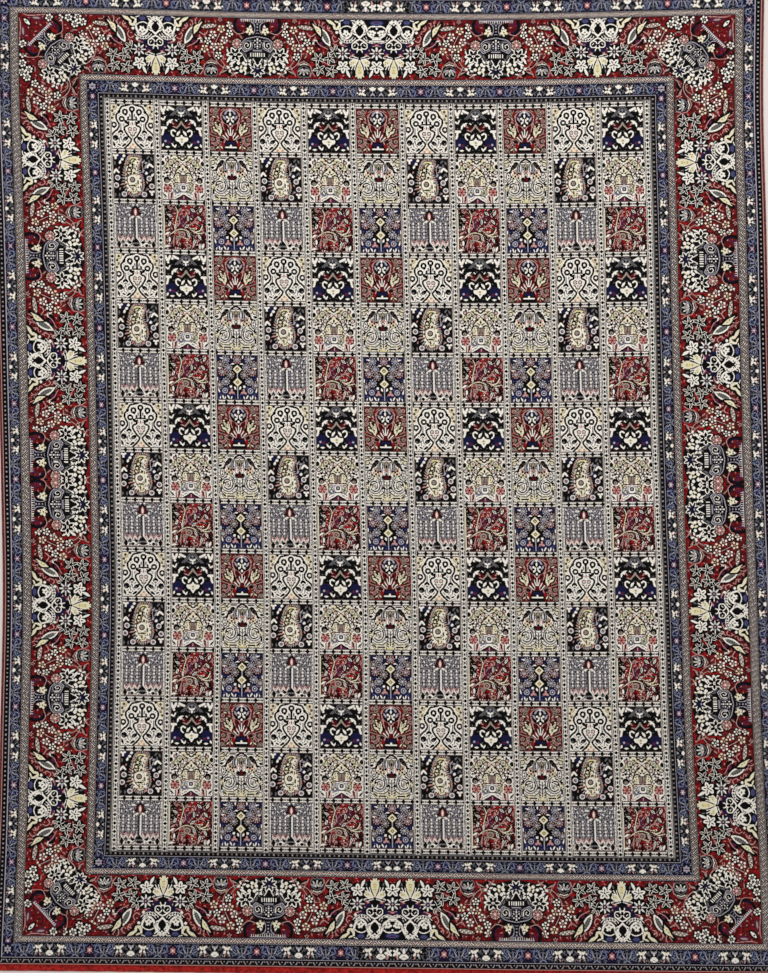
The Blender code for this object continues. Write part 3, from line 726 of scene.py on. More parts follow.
def cartouche(t, at):
    """A dark arabesque on the border's outer side, with a yellow lily toward the field, about x = at."""
    t.at(at, 0, pair=True)
    t.patch(BLACK, (-21, -1), (-22, 12), (-20, 19), (-13, 23.6), (-10.4, 30), (-5, 35), (0, 37.4), (5, 35),
            (10.4, 30), (13, 23.6), (20, 19), (22, 12), (21, -1))
    t.patch(BLACK, (19, -1), (37, -1), (31, 6), (25, 12), (19, 14))
    t.dots(NAVY, 3.0, (9.4, 31), (12.6, 25), (5.6, 34))
    # the arch, with a blossom in it over a blue half-moon
    t.ovals(NAVY, 8.2, 5.6, (13, 2.9, 0))
    t.ovals(BLUE, 6, 3.6, (13, 2.9, 0))
    t.ovals(PLUM, 3, 1.0, (13, 2.7, 0))
    t.lines(WHITE, 2.0, [(19.8, 4), (19.6, 11.4), (17, 17), (12.8, 18.8), (8.8, 15.6), (7, 9.6), (4.6, 4.8),
                         (1.6, 1.2)])
    t.leaves(BLACK, 0.7, 3.4, (19.7, 8.4, 0), (15.2, 18.4, -60), (7.6, 12, 20), (3.6, 3.2, 50))
    t.lines(WHITE, 1.0, [(8.4, 8), (11.6, 6.6), (16, 7.2), (18.8, 9.4)])
    t.petals(WHITE, 5, 0.4, 3.8, 2.4, (13.2, 13.6, 0))
    t.lines(BLACK, 1.5, [(10.6, 12.4), (12, 9.8), (15, 9.8)])
    t.dots(BLACK, 0.7, (13.2, 14.2))
    # the feathered crescent over it
    t.lines(WHITE, 3.2, [(19.6, 18.6), (17, 20.8), (12.6, 22.2), (8.4, 21.2), (5.6, 18.6)])
    t.lines(BLACK, 1.8, [(21, 17), (17, 20.8), (12.6, 22.2), (8.4, 21.2), (5, 17.6)])
    t.leaves(WHITE, 1.0, 3.0, (7.4, 20.4, -70), (9.8, 21.6, 20), (12.6, 22.0, 10), (15.2, 21.2, -20),
             (17.6, 19.8, -40))
    # the feet between the arches, and the lace under them
    t.lines(WHITE, 1.9, [(0.8, 17.6), (4.0, 14.4), (5.0, 10.6), (3.4, 7.2)])
    t.dots(WHITE, 1.5, (3.5, 7.2), (4.8, 14))
    t.dots(BLACK, 0.6, (3.5, 7.2), (4.8, 13.6))
    t.lines(WHITE, 1.0, [(0, 5.4), (2.4, 3.2), (5, 5.4), (7, 3)],
            [(0, 2.0), (2.6, 4.4), (5, 1.4), (8.4, 0.8)], [(16.6, 0.6), (19.4, 1.6)])
    # the tail that ends it at each side
    t.lines(CREAM, 2.4, [(20.4, 6.4), (22.4, 9.4), (24.8, 8.6), (25.2, 6)])
    t.leaves(CREAM, 3.1, 11, (28.6, 3.0, 121))
    t.leaves(CREAM, 1.8, 6, (22.6, 2.4, 112))
    t.dots(BLACK, 0.8, (23.4, 7))
    t.dots(WHITE, 1.4, (22.6, 13), (18.6, 23.4))
    # the trefoil
    t.rings(WHITE, 2.5, 1.1, (0, 32.4))
    t.rings(WHITE, 3.3, 1.1, (4.4, 26.4))
    t.lines(WHITE, 0.8, [(4.2, 25.4), (5.4, 26.6)])
    t.dots(WHITE, 0.9, (1.9, 29.4))
    t.dots(BLACK, 1.7, (0, 27.4))
    t.lines(WHITE, 1.4, [(6.8, 24.2), (3.4, 21.4), (0, 19.8)])
    t.dots(BLACK, 0.9, (0, 22.6))
    t.leaves(WHITE, 2.1, 4.0, (0, 18, 0))
    # the rose and plum leaves between the trefoil and the rosettes
    t.lines(MAROON, 1.2, [(2, 36.4), (8, 34), (12, 36)])
    t.leaves(PINK, 1.3, 4.6, (8.2, 36.6, 60), (10.2, 31.6, 40), (5.6, 35.6, 120), (14.6, 27, 80),
             (17, 25.6, 100))
    t.leaves(PLUM, 2.2, 4.4, (8.4, 34.2, 20), (14.4, 24.8, 90))
    # the lily
    t.patch(BLACK, (0, 58), (5.4, 57), (8.6, 54), (11.6, 48), (12.6, 40), (7, 37), (0, 34))
    t.leaves(GREY, 1.6, 5, (8.4, 53.6, 20))
    t.lines(WHITE, 0.9, [(1.6, 41), (4.2, 46), (5, 50)], [(2.4, 41), (6, 46), (8, 50)])
    t.patch(CREAM, *mirrored((0, 39.6), (2, 45), (3.9, 51), (3.6, 55.4), (2.2, 57.6), (0, 58.6)))
    t.patch(LEMON, *mirrored((0, 43), (1.0, 47), (1.9, 51), (1.4, 54), (0, 55.4)))
    t.dots(CREAM, 0.8, (1.4, 58.8), (3.6, 57))
    t.leaves(WHITE, 6.2, 12.6, (6.7, 43.4, 54))
    t.leaves(CREAM, 4.6, 10.4, (6.8, 43.4, 54))
    t.leaves(LEMON, 1.8, 6, (6.9, 43.5, 54))
    t.dots(MOSS, 0.6, (6, 43.6), (8.4, 45), (8, 43), (0, 51), (1, 53.6), (0.8, 48))
    t.lines(WHITE, 0.9, [(0.6, 38.4), (4, 38), (7, 36.6)], [(5, 39.4), (9, 39), (11.6, 37)])
    t.dots(BLACK, 1.5, (0, 37.8))
    # the white flower with its spike, and the dark rosette below
    t.dots(BLACK, 7.3, (16.6, 47.4), (16.8, 34))
    t.leaves(BLACK, 4.8, 11, (11.4, 54.6, -24))
    t.leaves(WHITE, 2.7, 9, (11.5, 54.4, -24))
    t.petals(WHITE, 5, 0.6, 6.9, 4.1, (16.6, 47.4, 0), sharp=0.8)
    t.petals(BLACK, 5, 1.2, 5.0, 1.1, (16.6, 47.4, 0), sharp=1)
    t.dots(BLACK, 0.9, (16.6, 47.4))
    t.petals(WHITE, 8, 2.2, 6.7, 1.5, (16.8, 34, 0))
    t.petals(SKY, 8, 2.0, 4.6, 0.7, (16.8, 34, 22))
    t.dots(PINK, 0.9, (16.8, 34))


def between_lilies(t):
    """The middle of each end: one wide arch over two blossoms joins the cartouches at x = 17 and -17."""
    cartouche(t, 17)
    t.at(0, 0, pair=True)
    t.patch(BLACK, (-1, -1), (-1, 21), (9, 21), (11, 14), (12, 4), (13, -1), smooth=False)
    t.ovals(NAVY, 15, 6.2, (0, 3.4, 0))
    t.ovals(BLUE, 12, 4.2, (0, 3.4, 0))
    t.ovals(PLUM, 7, 1.2, (0, 3.2, 0))
    t.lines(WHITE, 2.0, [(0, 18.4), (4, 18), (8, 15), (10, 9.6), (12.4, 4.8), (15.4, 1.2)])
    t.leaves(BLACK, 0.7, 3.6, (2.6, 18.2, -80), (9, 12.4, -20), (12.6, 4.6, -60))
    t.lines(WHITE, 1.2, [(0, 21.6), (3.4, 21.4), (7, 22)], [(0, 19.8), (4, 19.8)],
            [(0, 7), (5, 6.8), (8.6, 9)])
    t.petals(WHITE, 5, 0.4, 3.8, 2.4, (4.2, 13.2, -20))
    t.lines(BLACK, 1.4, [(0, 10), (3, 10.2), (5.4, 9.4)])
    t.dots(BLACK, 0.7, (4.2, 13.6))
    t.dots(WHITE, 0.9, (0, 9))


def spray(t):
    """What stands between a cartouche at x = 0 and a vase at 105: leaves, a bird, blossoms and a stem."""
    t.at()
    t.lines(MAROON, 3.4, [(52, 8), (60, 1.6), (74, 6), (82, 14)], [(24, 40), (33, 43), (41, 42), (45, 47)])
    t.patch(MAROON, (49, 44), (62, 47), (66, 40), (60, 33), (52, 38))
    t.patch(MAROON, (74, 34), (84, 26), (82, 16), (74, 10), (66, 14), (70, 22))
    t.patch(MAROON, (26, 59), (52, 59), (50, 55), (38, 57), (30, 56))
    t.patch(MAROON, (22, 27), (31, 29), (36, 33), (44, 32), (40, 29), (30, 24))
    t.patch(MAROON, (28, 8), (36, 14), (42, 4), (50, 0), (36, 0))
    t.lines(PINK, 0.8, [(21, 45.6), (30, 46.4), (36, 43.4), (41, 43)], [(36, 43.4), (33, 38.5), (29, 34)])
    t.lines(BLACK, 2.2, [(83, 49), (75, 51), (67, 48), (62, 40), (61.4, 30), (64, 21), (67, 15)])
    t.lines(PINK, 0.8, [(83, 49), (75, 51), (67, 48), (60.6, 39), (60.2, 30), (64, 21), (67, 15)])
    t.lines(BEIGE, 0.8, [(84, 47), (74, 48.6), (69.6, 45), (66, 38), (66, 34)],
            [(62, 46), (64, 38), (63, 32)])
    flowers = (29.2, 52.6, -20), (42, 51, 15), (30.4, 39.6, -55), (43.2, 39, 150), (25.4, 31.4, 200)
    for x, y, turn in flowers:
        t.at(x, y, turn, 0.98)
        t.dots(BLACK, 6.2, (0, 0))
        lobes = (0, 3.0, 0), (-3.5, 0.6, -60), (3.5, 0.6, 60), (-2.3, -3.4, -134), (2.3, -3.4, 134)
        t.leaves(WHITE, 3.0, 7.0, *lobes)
        t.leaves(BLACK, 1.9, 5.6, *lobes)
        t.leaves(BEIGE, 0.6, 3.6, *lobes[:3])
        t.dots(BLACK, 1.5, (0, -0.6))
    # the open blossom, a pale crescent under it
    t.at(57.5, 52.6)
    t.dots(BLACK, 6.8, (0, 0))
    t.lines(GREY, 0.9, [(-0.6, -5.6), (-5, -2.6), (-6.4, 2), (-4.6, 6), (-1.6, 5.4), (0, 7.2), (1.8, 5.4),
                        (4.6, 6), (6.4, 2), (5, -2.6), (0.6, -5.6)])
    t.leaves(WHITE, 1.7, 7.6, (0, 1.2, 0), (-2.7, 0.2, -28), (2.7, 0.2, 28))
    t.leaves(LILAC, 1.4, 5.4, (-4.2, -1.2, -52), (4.2, -1.2, 52))
    t.leaves(BLACK, 0.7, 4.4, (0, 1.2, 0), (-2.7, 0.2, -28), (2.7, 0.2, 28))
    t.lines(BEIGE, 0.9, [(-6, -5.6), (-3, -8.6), (0.6, -9.6), (4.4, -8.2), (6, -6)])
    t.lines(WHITE, 0.8, [(-3.6, -6.6), (0, -7.6), (3.6, -6.6)])
    t.lines(BLACK, 1.0, [(-5, -9), (0, -12), (4.4, -10.4)])
    t.leaves(PINK, 1.2, 5, (-2, -14.6, 40), (1.6, -17.6, 80))
    t.at()
    # the bird, its wing, tail and purple crest
    t.patch(BLACK, (34, 26.5), (42, 28), (46.5, 25), (44, 21), (38, 20.6))
    t.dots(PLUM, 2.3, (40, 25))
    t.lines(PINK, 0.7, [(30.6, 25), (34, 13), (40.4, 6)], [(46, 18), (42, 25), (33, 30)])
    t.leaves(BLACK, 9.8, 23.6, (35.4, 17.8, 152))
    t.leaves(WHITE, 7.8, 21.6, (35.4, 17.8, 152))
    t.leaves(MOSS, 4.6, 16.4, (35.4, 17.8, 152))
    t.leaves(GREY, 3.4, 14, (35.4, 17.8, 152))
    for far in (-5, -2.5, 0, 2.5, 5):
        for aside in (-1.2, 1.2):
            x, y = 35.4 + far * 0.47 + aside * 0.88, 17.8 - far * 0.88 + aside * 0.47
            t.leaves(BLACK, 0.9, 2.2, (x, y, 120))
    t.patch(BLACK, (38.6, 20), (45, 15.4), (48.6, 9), (50.6, 2.4), (44.6, 4), (40, 6.4), (38, 11))
    t.patch(CREAM, (40, 17), (43.6, 13.6), (46, 9), (48.6, 4.4), (45.6, 6.4), (41.6, 8.4), (39.8, 11.4))
    t.patch(LEMON, (41.4, 13.4), (43, 11.8), (44.2, 9.6), (43, 9.4), (41.6, 11), smooth=False)
    t.dots(MOSS, 0.7, (42.4, 12.4), (44.2, 9.8))
    t.leaves(BLACK, 5.6, 18.4, (55.6, 8.6, 98))
    t.leaves(BEIGE, 4.2, 16.6, (55.6, 8.6, 98), sharp=0.6)
    t.dots(BROWN, 0.7, *[(48.8 + 2 * k, 9.6 - 0.28 * k - 0.7 * (-1) ** k) for k in range(8)])
    t.dots(WHITE, 0.7, *[(49.6 + 2 * k, 9.4 - 0.28 * k + 0.7 * (-1) ** k) for k in range(7)])
    t.lines(PINK, 0.8, [(42, 6.6), (41.4, 2.4), (43, 0.6)], [(44.6, 6), (47, 2)],
            [(46.4, 25.6), (48.4, 22.4), (46, 19.4)])
    t.leaves(WHITE, 1.4, 4.4, (47.6, 24, 30), (45.6, 21.4, 100))
    t.lines(PINK, 0.9, [(46, 15), (51, 17.6), (54, 14)], [(22, 21), (25.6, 22.6), (28, 19), (26.6, 15.6)])
    t.lines(PINK, 0.8, [(30, 4), (33, 7.6), (32, 11), (28.6, 12)], [(34, 2), (38, 4.4), (38.6, 8)],
            [(24.6, 27), (27, 24)])
    t.leaves(PINK, 1.4, 5, (25.4, 26.4, 40), (31, 8.6, 60), (52, 20, 50), (50.6, 26, 10))
    flowers = ((65, 37.6), (66.6, 28.8), (71.2, 22.2), (76.6, 15.4), (68, 11.2), (59.4, 17), (54, 23.4),
               (50.8, 31.4), (60.4, 29), (77, 7))
    t.blossoms(WHITE, CREAM, BLACK, 3.7, *flowers[::3])
    t.blossoms(CREAM, BEIGE, MAROON, 3.9, *flowers[1::3])
    t.blossoms(WHITE, BEIGE, MAROON, 3.9, *flowers[2::3])
    t.leaves(BLACK, 3.4, 10, (76, 55.6, 60), (70.6, 54, 120))
    t.leaves(BEIGE, 1.1, 8, (78, 55, 60), (70.6, 54, 120), (82, 57, 30))
    t.lines(PINK, 0.8, [(51, 58), (50, 54)], [(66, 57.6), (68, 54), (72, 53)],
            [(46, 57.4), (49, 53), (50.6, 47)])
    t.petals(BLACK, 5, 0, 3.2, 2.6, (67, 1.8, 0))
    t.petals(PINK, 5, 0.6, 2.5, 1.1, (67, 1.8, 0))


def vase(t):
    """A dark scrolled vase on a toothed white foot line, star flowers fanned over it, at x = 0."""
    t.patch(BLACK, *mirrored((0, 59), (9, 58), (19, 55), (26, 49), (30, 41), (29, 32), (25, 27), (15, 24),
                             (11, 17), (0, 12)))
    t.patch(MAROON, (6, 0), (7, 10), (12, 16), (20, 14), (27, 3), (28, 0))
    t.patch(RED, (9, 2), (10, 9), (14, 12.6), (18, 9), (19, 2))
    t.patch(MAROON, (11.6, 2), (13, 9), (18, 12), (24, 7), (23, 1))
    t.patch(PLUM, (14, 2), (15, 6), (18, 7), (18, 2))
    t.lines(BLACK, 3.0, [(13, 16.4), (20, 12.6), (22, 6), (21, 0)])
    t.lines(NAVY, 1.0, [(17, 13.6), (20.4, 10), (21.4, 5)])
    t.lines(PINK, 0.7, [(12, 14), (19, 16), (25, 11), (30, 4)])
    # foot, stem and bowl, all in fine pale lines on black
    t.patch(BLACK, (-8, 0), (-5, 6), (-4, 14), (-12, 20), (12, 20), (4, 14), (5, 6), (8, 0), smooth=False)
    t.lines(LILAC, 0.8, [(5.6, 3.8), (3.2, 5.6), (2.2, 9), (2.6, 13), (4.8, 17)], [(1, 4), (3.4, 3.6)])
    t.dots(LILAC, 0.7, (0, 5.6), (0, 8.8), (0, 12), (0.6, 15.2), (2.6, 17.8))
    t.patch(BLACK, *mirrored((0, 15), (8, 17), (15, 22), (17, 29.4), (13, 35.4), (0, 34)))
    t.rings(LILAC, 4.8, 0.7, (9.6, 27.4))
    t.lines(WHITE, 0.7, [(6.6, 24.6), (6.8, 29), (10, 30.8), (12.8, 28.2), (11.2, 25), (8.8, 26.2),
                         (9.6, 28.2)])
    t.lines(GREY, 0.7, [(4.4, 22.4), (8.4, 21.8), (12.4, 23.2)], [(1.4, 31.4), (4.6, 30.6), (5.2, 27)])
    t.lines(LILAC, 0.9, [(0, 18.2), (5, 19.2), (10.6, 20.6), (14.8, 24.4), (15.4, 29.4), (12.6, 33.4),
                         (10, 32.8)])
    t.dots(WHITE, 0.7, (0, 20.6), (0, 24.4), (0, 28.2), (2.2, 22.4), (2.4, 26.4))
    t.dots(LILAC, 0.7, (2.2, 28.6), (0, 22.4), (0, 26.4), (0, 30.2), (3.6, 24.4))
    t.dots(BLACK, 1.5, (5.4, 33))
    t.lines(LILAC, 1.0, [(0, 32.6), (3.8, 32.6)])
    t.patch(BLACK, (-8, 33.6), (8, 33.6), (8, 40), (-8, 40), smooth=False)
    t.lines(WHITE, 1.0, [(0, 35), (0, 38.2)], [(2.1, 35), (2.1, 38.2)], [(4.2, 35), (4.2, 38.2)],
            [(6.3, 35), (6.3, 38.2)])
    t.leaves(GREY, 1.6, 6, (4.6, 42.4, 15), (9.6, 41.4, 30), (11.4, 37.6, -20))
    t.lines(WHITE, 0.8, [(1.6, 47), (2.2, 44), (4, 41)], [(6.6, 45), (9, 41.6)], [(11.6, 42), (13.6, 38.6)])
    # the foot line with its teeth, and the blossoms at each side of the stem
    t.lines(LILAC, 1.2, [(0, 0.9), (16.6, 0.9)])
    t.lines(WHITE, 0.7, *[[(x, 1.2), (x, 3)] for x in np.arange(1, 16.5, 2.1)])
    t.dots(BLACK, 4.4, (7.6, 12.4))
    t.petals(CREAM, 5, 0.4, 4.0, 2.6, (7.6, 12.8, 0))
    t.leaves(WHITE, 2.4, 5.6, (6.6, 9, -8))
    t.dots(BLACK, 2.4, (9.2, 6))
    t.dots(BROWN, 0.8, (7.6, 12.8), (6.4, 9.6), (8.6, 15))
    # the fan of flowers
    t.petals(WHITE, 8, 0.6, 8.0, 3.9, (0, 52, 22), sharp=1)
    t.petals(BLACK, 8, 0.4, 6.6, 2.1, (0, 52, 22))
    t.petals(NAVY, 8, 0.4, 5.4, 0.9, (0, 52, 22))
    t.dots(LILAC, 0.8, (0, 50.4))
    t.dots(BLACK, 7.0, (16.2, 48.8))
    t.blossoms(WHITE, BLACK, BLACK, 5.8, (16.2, 48.8))
    t.leaves(CREAM, 2.2, 4.8, (16.2, 49.2, 20), (12.8, 52.6, -40))
    t.petals(WHITE, 4, 1.0, 4.6, 2.0, (9.4, 44.6, 45), (26.4, 50.6, 20))
    t.dots(BLACK, 0.9, (9.4, 44.6), (26.4, 50.6))
    t.petals(WHITE, 6, 0.6, 8.2, 4.7, (22, 36.6, 30), sharp=0.9)
    t.petals(BLACK, 6, 0.8, 6.6, 2.9, (22, 36.6, 30), sharp=0.8)
    t.dots(WHITE, 1.3, (22, 36.6), (29.6, 37), (17, 30))
    t.dots(BLACK, 0.6, (22, 36.6))
    t.leaves(WHITE, 2.3, 8, (24.6, 45, 62), (28.4, 41.6, 30))
    t.leaves(GREY, 1.6, 6, (14.4, 35.6, -30), (9.6, 55, 60))
    t.leaves(WHITE, 1.4, 4.6, (12, 55.4, 30), (21, 55.2, 80), (29.6, 33, 160))
    t.dots(BLACK, 5.6, (20.2, 25.6))
    t.petals(PINK, 7, 0.8, 4.9, 2.1, (20.2, 25.6, 0))
    t.petals(PLUM, 7, 1.4, 4.2, 1.0, (20.2, 25.6, 0))
    t.petals(CREAM, 7, 3.2, 5.0, 0.9, (20.2, 25.6, 26))
    t.dots(WHITE, 0.9, (20.2, 25.6))
    t.leaves(BEIGE, 1.2, 6, (16, 19, -40), (30, 24, 40))
    t.leaves(PINK, 1.2, 6, (24, 57, 60), (33.6, 50, 20), (34, 40, -10))


def border_half(knots, with_vase):
    """The main border from a cartouche's middle onward, outer side down; with_vase ends it in half a vase.

    The spray is drawn for a vase at x = 105, and squeezed to fit between.
    """
    length = knots / 2
    t = new_tile(knots, INNER_ZIGZAG - BORDER, RED, 0, 0)
    real = t.plain[0]
    if with_vase:
        t.plain[0] = real * (105 / length)
    spray(t)
    t.plain[0] = real
    if with_vase:
        vase(t.at(length, 0, pair=True))
    cartouche(t, 0)
    shade_ground(t)
    return t.knots


def shade_ground(t):
    """Dark lines round every motif, an outer side mostly maroon, and flecks of other dyes on both grounds."""
    t.at()
    t.outline(RED, BLACK, [WHITE, CREAM, LEMON])
    t.outline(RED, BLACK, [BLACK])
    t.outline(RED, MAROON, [BLACK, PINK, BEIGE])
    t.scatter(MAROON, [RED], 2.8, 7, 4.4, 51)
    outer_side = t.plain[1] < 27 + 4 * np.sin(0.3 * t.plain[0])
    speckled = (np.arange(t.knots.shape[0])[:, None] * 7 + np.arange(t.knots.shape[1]) * 11) % 13 > 2
    t.knots[outer_side & speckled & (t.knots == RED)] = MAROON
    t.scatter(RED, [MAROON], 1.8, 5.0, 5.6, 55)
    t.scatter(PINK, [RED, MAROON], 0.9, 2.6, 6.4, 52)
    t.scatter(BROWN, [MAROON], 1.2, 3.0, 3.8, 53)
    t.scatter(BLACK, [RED], 0.9, 3.2, 5.0, 54)


def guard_tile(length, depth, dye):
    """A stretch of guard from a middle at x = 0, drawn 11 units deep and stretched to its depth in knots."""
    t = new_tile(length, depth, dye, 0, -depth / 4)
    t.plain[1] *= 22 / depth
    return t.at()


def guard_half(length, depth):
    """A navy guard from a rosette's middle to a flower group's, outer side down, measured in knots."""
    t = guard_tile(length, depth, NAVY)
    end = length / 2
    t.patch(BLACK, (end - 17, -7), (end - 19, 0), (end - 17, 7), (end + 2, 7), (end + 2, -7), smooth=False)
    t.lines(BLACK, 1.6, [(0, 5.4), (25, 5.4)], [(0, -5.4), (25, -5.4)])
    # the fan of slim leaves between them
    t.dots(BLACK, 5.2, (14.6, -1))
    t.leaves(SKY, 1.1, 6.6, (14.6, 0.6, 0), (8.4, -1.4, -62), (20.8, -1.4, 62))
    t.leaves(LILAC, 1.0, 6.4, (11.4, 0, -34), (17.8, 0, 34))
    t.leaves(SKY, 1.0, 6, (10, 3.4, -50), (19.2, 3.4, 50), (13, -4.2, 60), (16.4, -4.2, -60), (6, 2.6, 20),
             (23, 2.6, -20))
    t.leaves(GREY, 0.9, 4, (6.2, -3.4, 60), (22.8, -3.4, -60), (14.6, 4.6, 90), (12, -3, 20), (17, -3, -20))
    t.dots(BLACK, 4.2, (0, 0))
    t.dots(PLUM, 3.4, (0, 0))
    t.petals(PINK if depth > 23 else LILAC, 6, 0.4, 3.0, 1.4, (0, 0, 0))
    t.dots(WHITE, 0.8, (0, 0))
    guard_group(t, end)
    t.scatter(SKY, [NAVY], 0.9, 2.6, 2.4, 61)
    t.scatter(GREY, [BLACK], 0.8, 2.4, 3.0, 62)
    t.scatter(LILAC, [BLACK, NAVY], 0.7, 2.0, 4.4, 64)
    t.scatter(NAVY, [BLACK], 1.2, 3.0, 3.6, 65)
    return t.knots


def guard_group(t, at, side=1):
    """Half a flower group: a white flower at one side, tilted toward the white drop at x = at."""
    t.petals(WHITE, 4, 0.3, 4.1, 2.1, (at - 12.0 * side, 0.8, 40 * side))
    t.leaves(CREAM, 1.3, 3.4, (at - 12.0 * side, 2.6, -20 * side))
    t.leaves(LILAC, 1.4, 3.6, (at - 14.4 * side, -2.8, 40 * side))
    t.leaves(PINK, 1.4, 3.4, (at - 10.4 * side, -3.2, -20 * side))
    t.dots(WHITE, 0.8, (at - 16.4 * side, 1.6), (at - 8.6 * side, 3.4))
    t.dots(MAROON, 0.9, (at - 12.4 * side, 0.2))
    t.leaves(GREY, 1.2, 4.4, (at - 6.4, 2.8, 50), (at - 6, -3.4, 130), (at + 6.4, 2.8, -50),
             (at + 6, -3.4, -130))
    t.leaves(GREY, 1.1, 4.0, (at - 17.6 * side, -2.6, 30 * side), (at - 16.6 * side, 4, -40 * side))
    t.petals(WHITE, 3, 0.2, 5.0, 2.7, (at, -0.8, 0))
    t.leaves(WHITE, 1.8, 6, (at, -4.0, 90))
    t.leaves(LILAC, 1.8, 3.4, (at - 2.2, 3.0, -40), (at + 2.2, 3.0, 40))


def guard_corner(wide, high):
    """The square where two guards meet: a rosette and four small leaves."""
    t = new_tile(wide, high, NAVY)
    t.dots(BLACK, 5, (0, 0))
    t.petals(LILAC, 6, 0.8, 3.8, 2.0, (0, 0, 0))
    t.dots(PLUM, 1.0, (0, 0))
    t.at(pair=True)
    t.leaves(SKY, 1.2, 3, (4.4, 4.2, 45), (4.4, -4.2, 135))
    return t.knots


def zigzag(depth, along, wide, on_end):
    """Fine pale chevrons on dark wool, their dye changing along the band, between a pale and a dark line."""
    wave = (from_nearest(along, 11, 22) + depth) % 5
    dye = (along // 3 + depth // 3 * 3) % 7
    light_on_end = np.choose(dye, [WHITE, CREAM, PINK, WHITE, BEIGE, WHITE, LILAC])
    light_on_side = np.choose(dye, [BEIGE, LILAC, WHITE, GREY, BEIGE, LILAC, CREAM])
    light = np.where(on_end, light_on_end, light_on_side)
    out = np.select([wave < 2, wave < 3, wave < 4], [light, np.where(on_end, BEIGE, GREY), BROWN], BLACK)
    edge = np.minimum(depth, wide - 1 - depth)
    pale = np.where((along + depth) % 5 > 2, GREY, np.where(on_end, LILAC, BEIGE))
    return np.select([edge < 1, edge < 2, edge < 3], [BLACK, pale, BROWN], out)


def drifted(along):
    """The side borders' knots as designed: they lie a little off their even places, nearer the lower end."""
    seen = (-978, -630, -437, -226, -37, 61, 264, 449, 651, 978)
    meant = (-989, -641, -443, -245, -47, 47, 245, 443, 641, 968)
    return np.rint(np.interp(along, seen, meant)).astype(int)


def bands():
    """Each knot's depth from the nearest edge, its place from that edge's middle, and if that is an end."""
    rows, columns = np.mgrid[:ALONG, :ACROSS]
    from_side, from_end = np.minimum(columns, ACROSS - 1 - columns), np.minimum(rows, ALONG - 1 - rows)
    on_end = from_end < from_side
    along = np.where(on_end, columns - ACROSS // 2, drifted(ALONG // 2 - 1 - rows))
    return np.minimum(from_side, from_end), np.where(along < 0, -along - 1, along), on_end


def narrow_bands(chart, depth, along, on_end):
    """The bands without flowers: lines, slants and beads at the edge, zigzags, and beads round the field."""

    def band(first, last, pattern):
        here = (depth >= first) & (depth < last)
        chart[here] = np.broadcast_to(pattern, chart.shape)[here]

    band(0, DOTS, PINK)
    slant = from_nearest(along, 11, 22) - 5.5 - (depth - 6.5) * 0.6
    slants = (np.abs(slant) < 1.1) & (np.abs(depth - 6.5) < 3.2)
    slants |= (along % 11 < 2) & (depth > 7) & (depth < 10)
    bead_run = from_nearest(along, 4, 9) < 1.6
    beads = bead_run & (np.abs(depth - 7) < 1.6)
    light = np.where(along % 5 > 1, LILAC, BEIGE)
    band(DOTS, OUTER_LINE, np.where(np.where(on_end, slants, beads), light, BLACK))
    band(OUTER_LINE, OUTER_GUARD, np.where((depth == 13) | (depth == 14) & ~on_end, LILAC, BLACK))
    for starts, ends in ((OUTER_ZIGZAG, (BORDER, BORDER)), ((INNER_ZIGZAG, INNER_ZIGZAG), INNER_GUARD)):
        end_band, side_band = [zigzag(depth - a, along, b - a, on_end) for a, b in zip(starts, ends)]
        band(min(starts), max(ends), np.where(on_end, end_band, side_band))
    band(INNER_LINE, INNER_DOTS, np.where(depth == 211, LILAC, BLACK))
    beads = bead_run & (np.abs(depth - 216.5) < 1.6)
    light, ground = np.where(along % 18 > 8, BEIGE, GREY), np.where(depth > 219, GREY, BLACK)
    band(INNER_DOTS, FIELD, np.where(beads, light, ground))


def guards(chart, depth, along, on_end):
    """Both guards: flower groups and vines, with rosettes at an even pitch, and a square at each corner."""
    # for the ends and the sides: start and stop, the first rosette's place from the middle, and its pitch
    outer = (OUTER_GUARD, OUTER_ZIGZAG[0], 98, 160), (OUTER_GUARD, OUTER_ZIGZAG[1], 0, 154)
    inner = (INNER_GUARD[0], INNER_LINE, 87, 158), (INNER_GUARD[1], INNER_LINE, 0, 154)
    for end, side in (outer, inner):
        for edge, (start, stop, rosette, pitch) in ((on_end, end), (~on_end, side)):
            here = edge & (depth >= start) & (depth < stop)
            near = np.minimum(from_nearest(along[here], rosette, pitch), GUARD_HALF - 1)
            chart[here] = guard_half(GUARD_HALF, stop - start)[depth[here] - start, near]
        wide, high = side[1] - side[0], end[1] - end[0]
        square = guard_corner(wide, high)
        for foot in (end[0], ALONG - end[1]):
            for left in (side[0], ACROSS - side[1]):
                chart[foot : foot + high, left : left + wide] = square
    # the middle of each end's outer guard: two drops and a pair of flowers between the rosettes
    half = 66
    here = on_end & (depth >= OUTER_GUARD) & (depth < OUTER_ZIGZAG[0]) & (along < half)
    middle = guard_tile(half, OUTER_ZIGZAG[0] - OUTER_GUARD, BLACK)
    guard_group(middle, 11, -1)
    middle.petals(WHITE, 5, 0.3, 4.0, 2.1, (3.8, 0.4, 20))
    middle.leaves(PINK, 2.0, 4.4, (4.6, -3, -20))
    middle.scatter(GREY, [BLACK], 0.9, 2.4, 2.8, 63)
    chart[here] = middle.knots[depth[here] - OUTER_GUARD, along[here]]


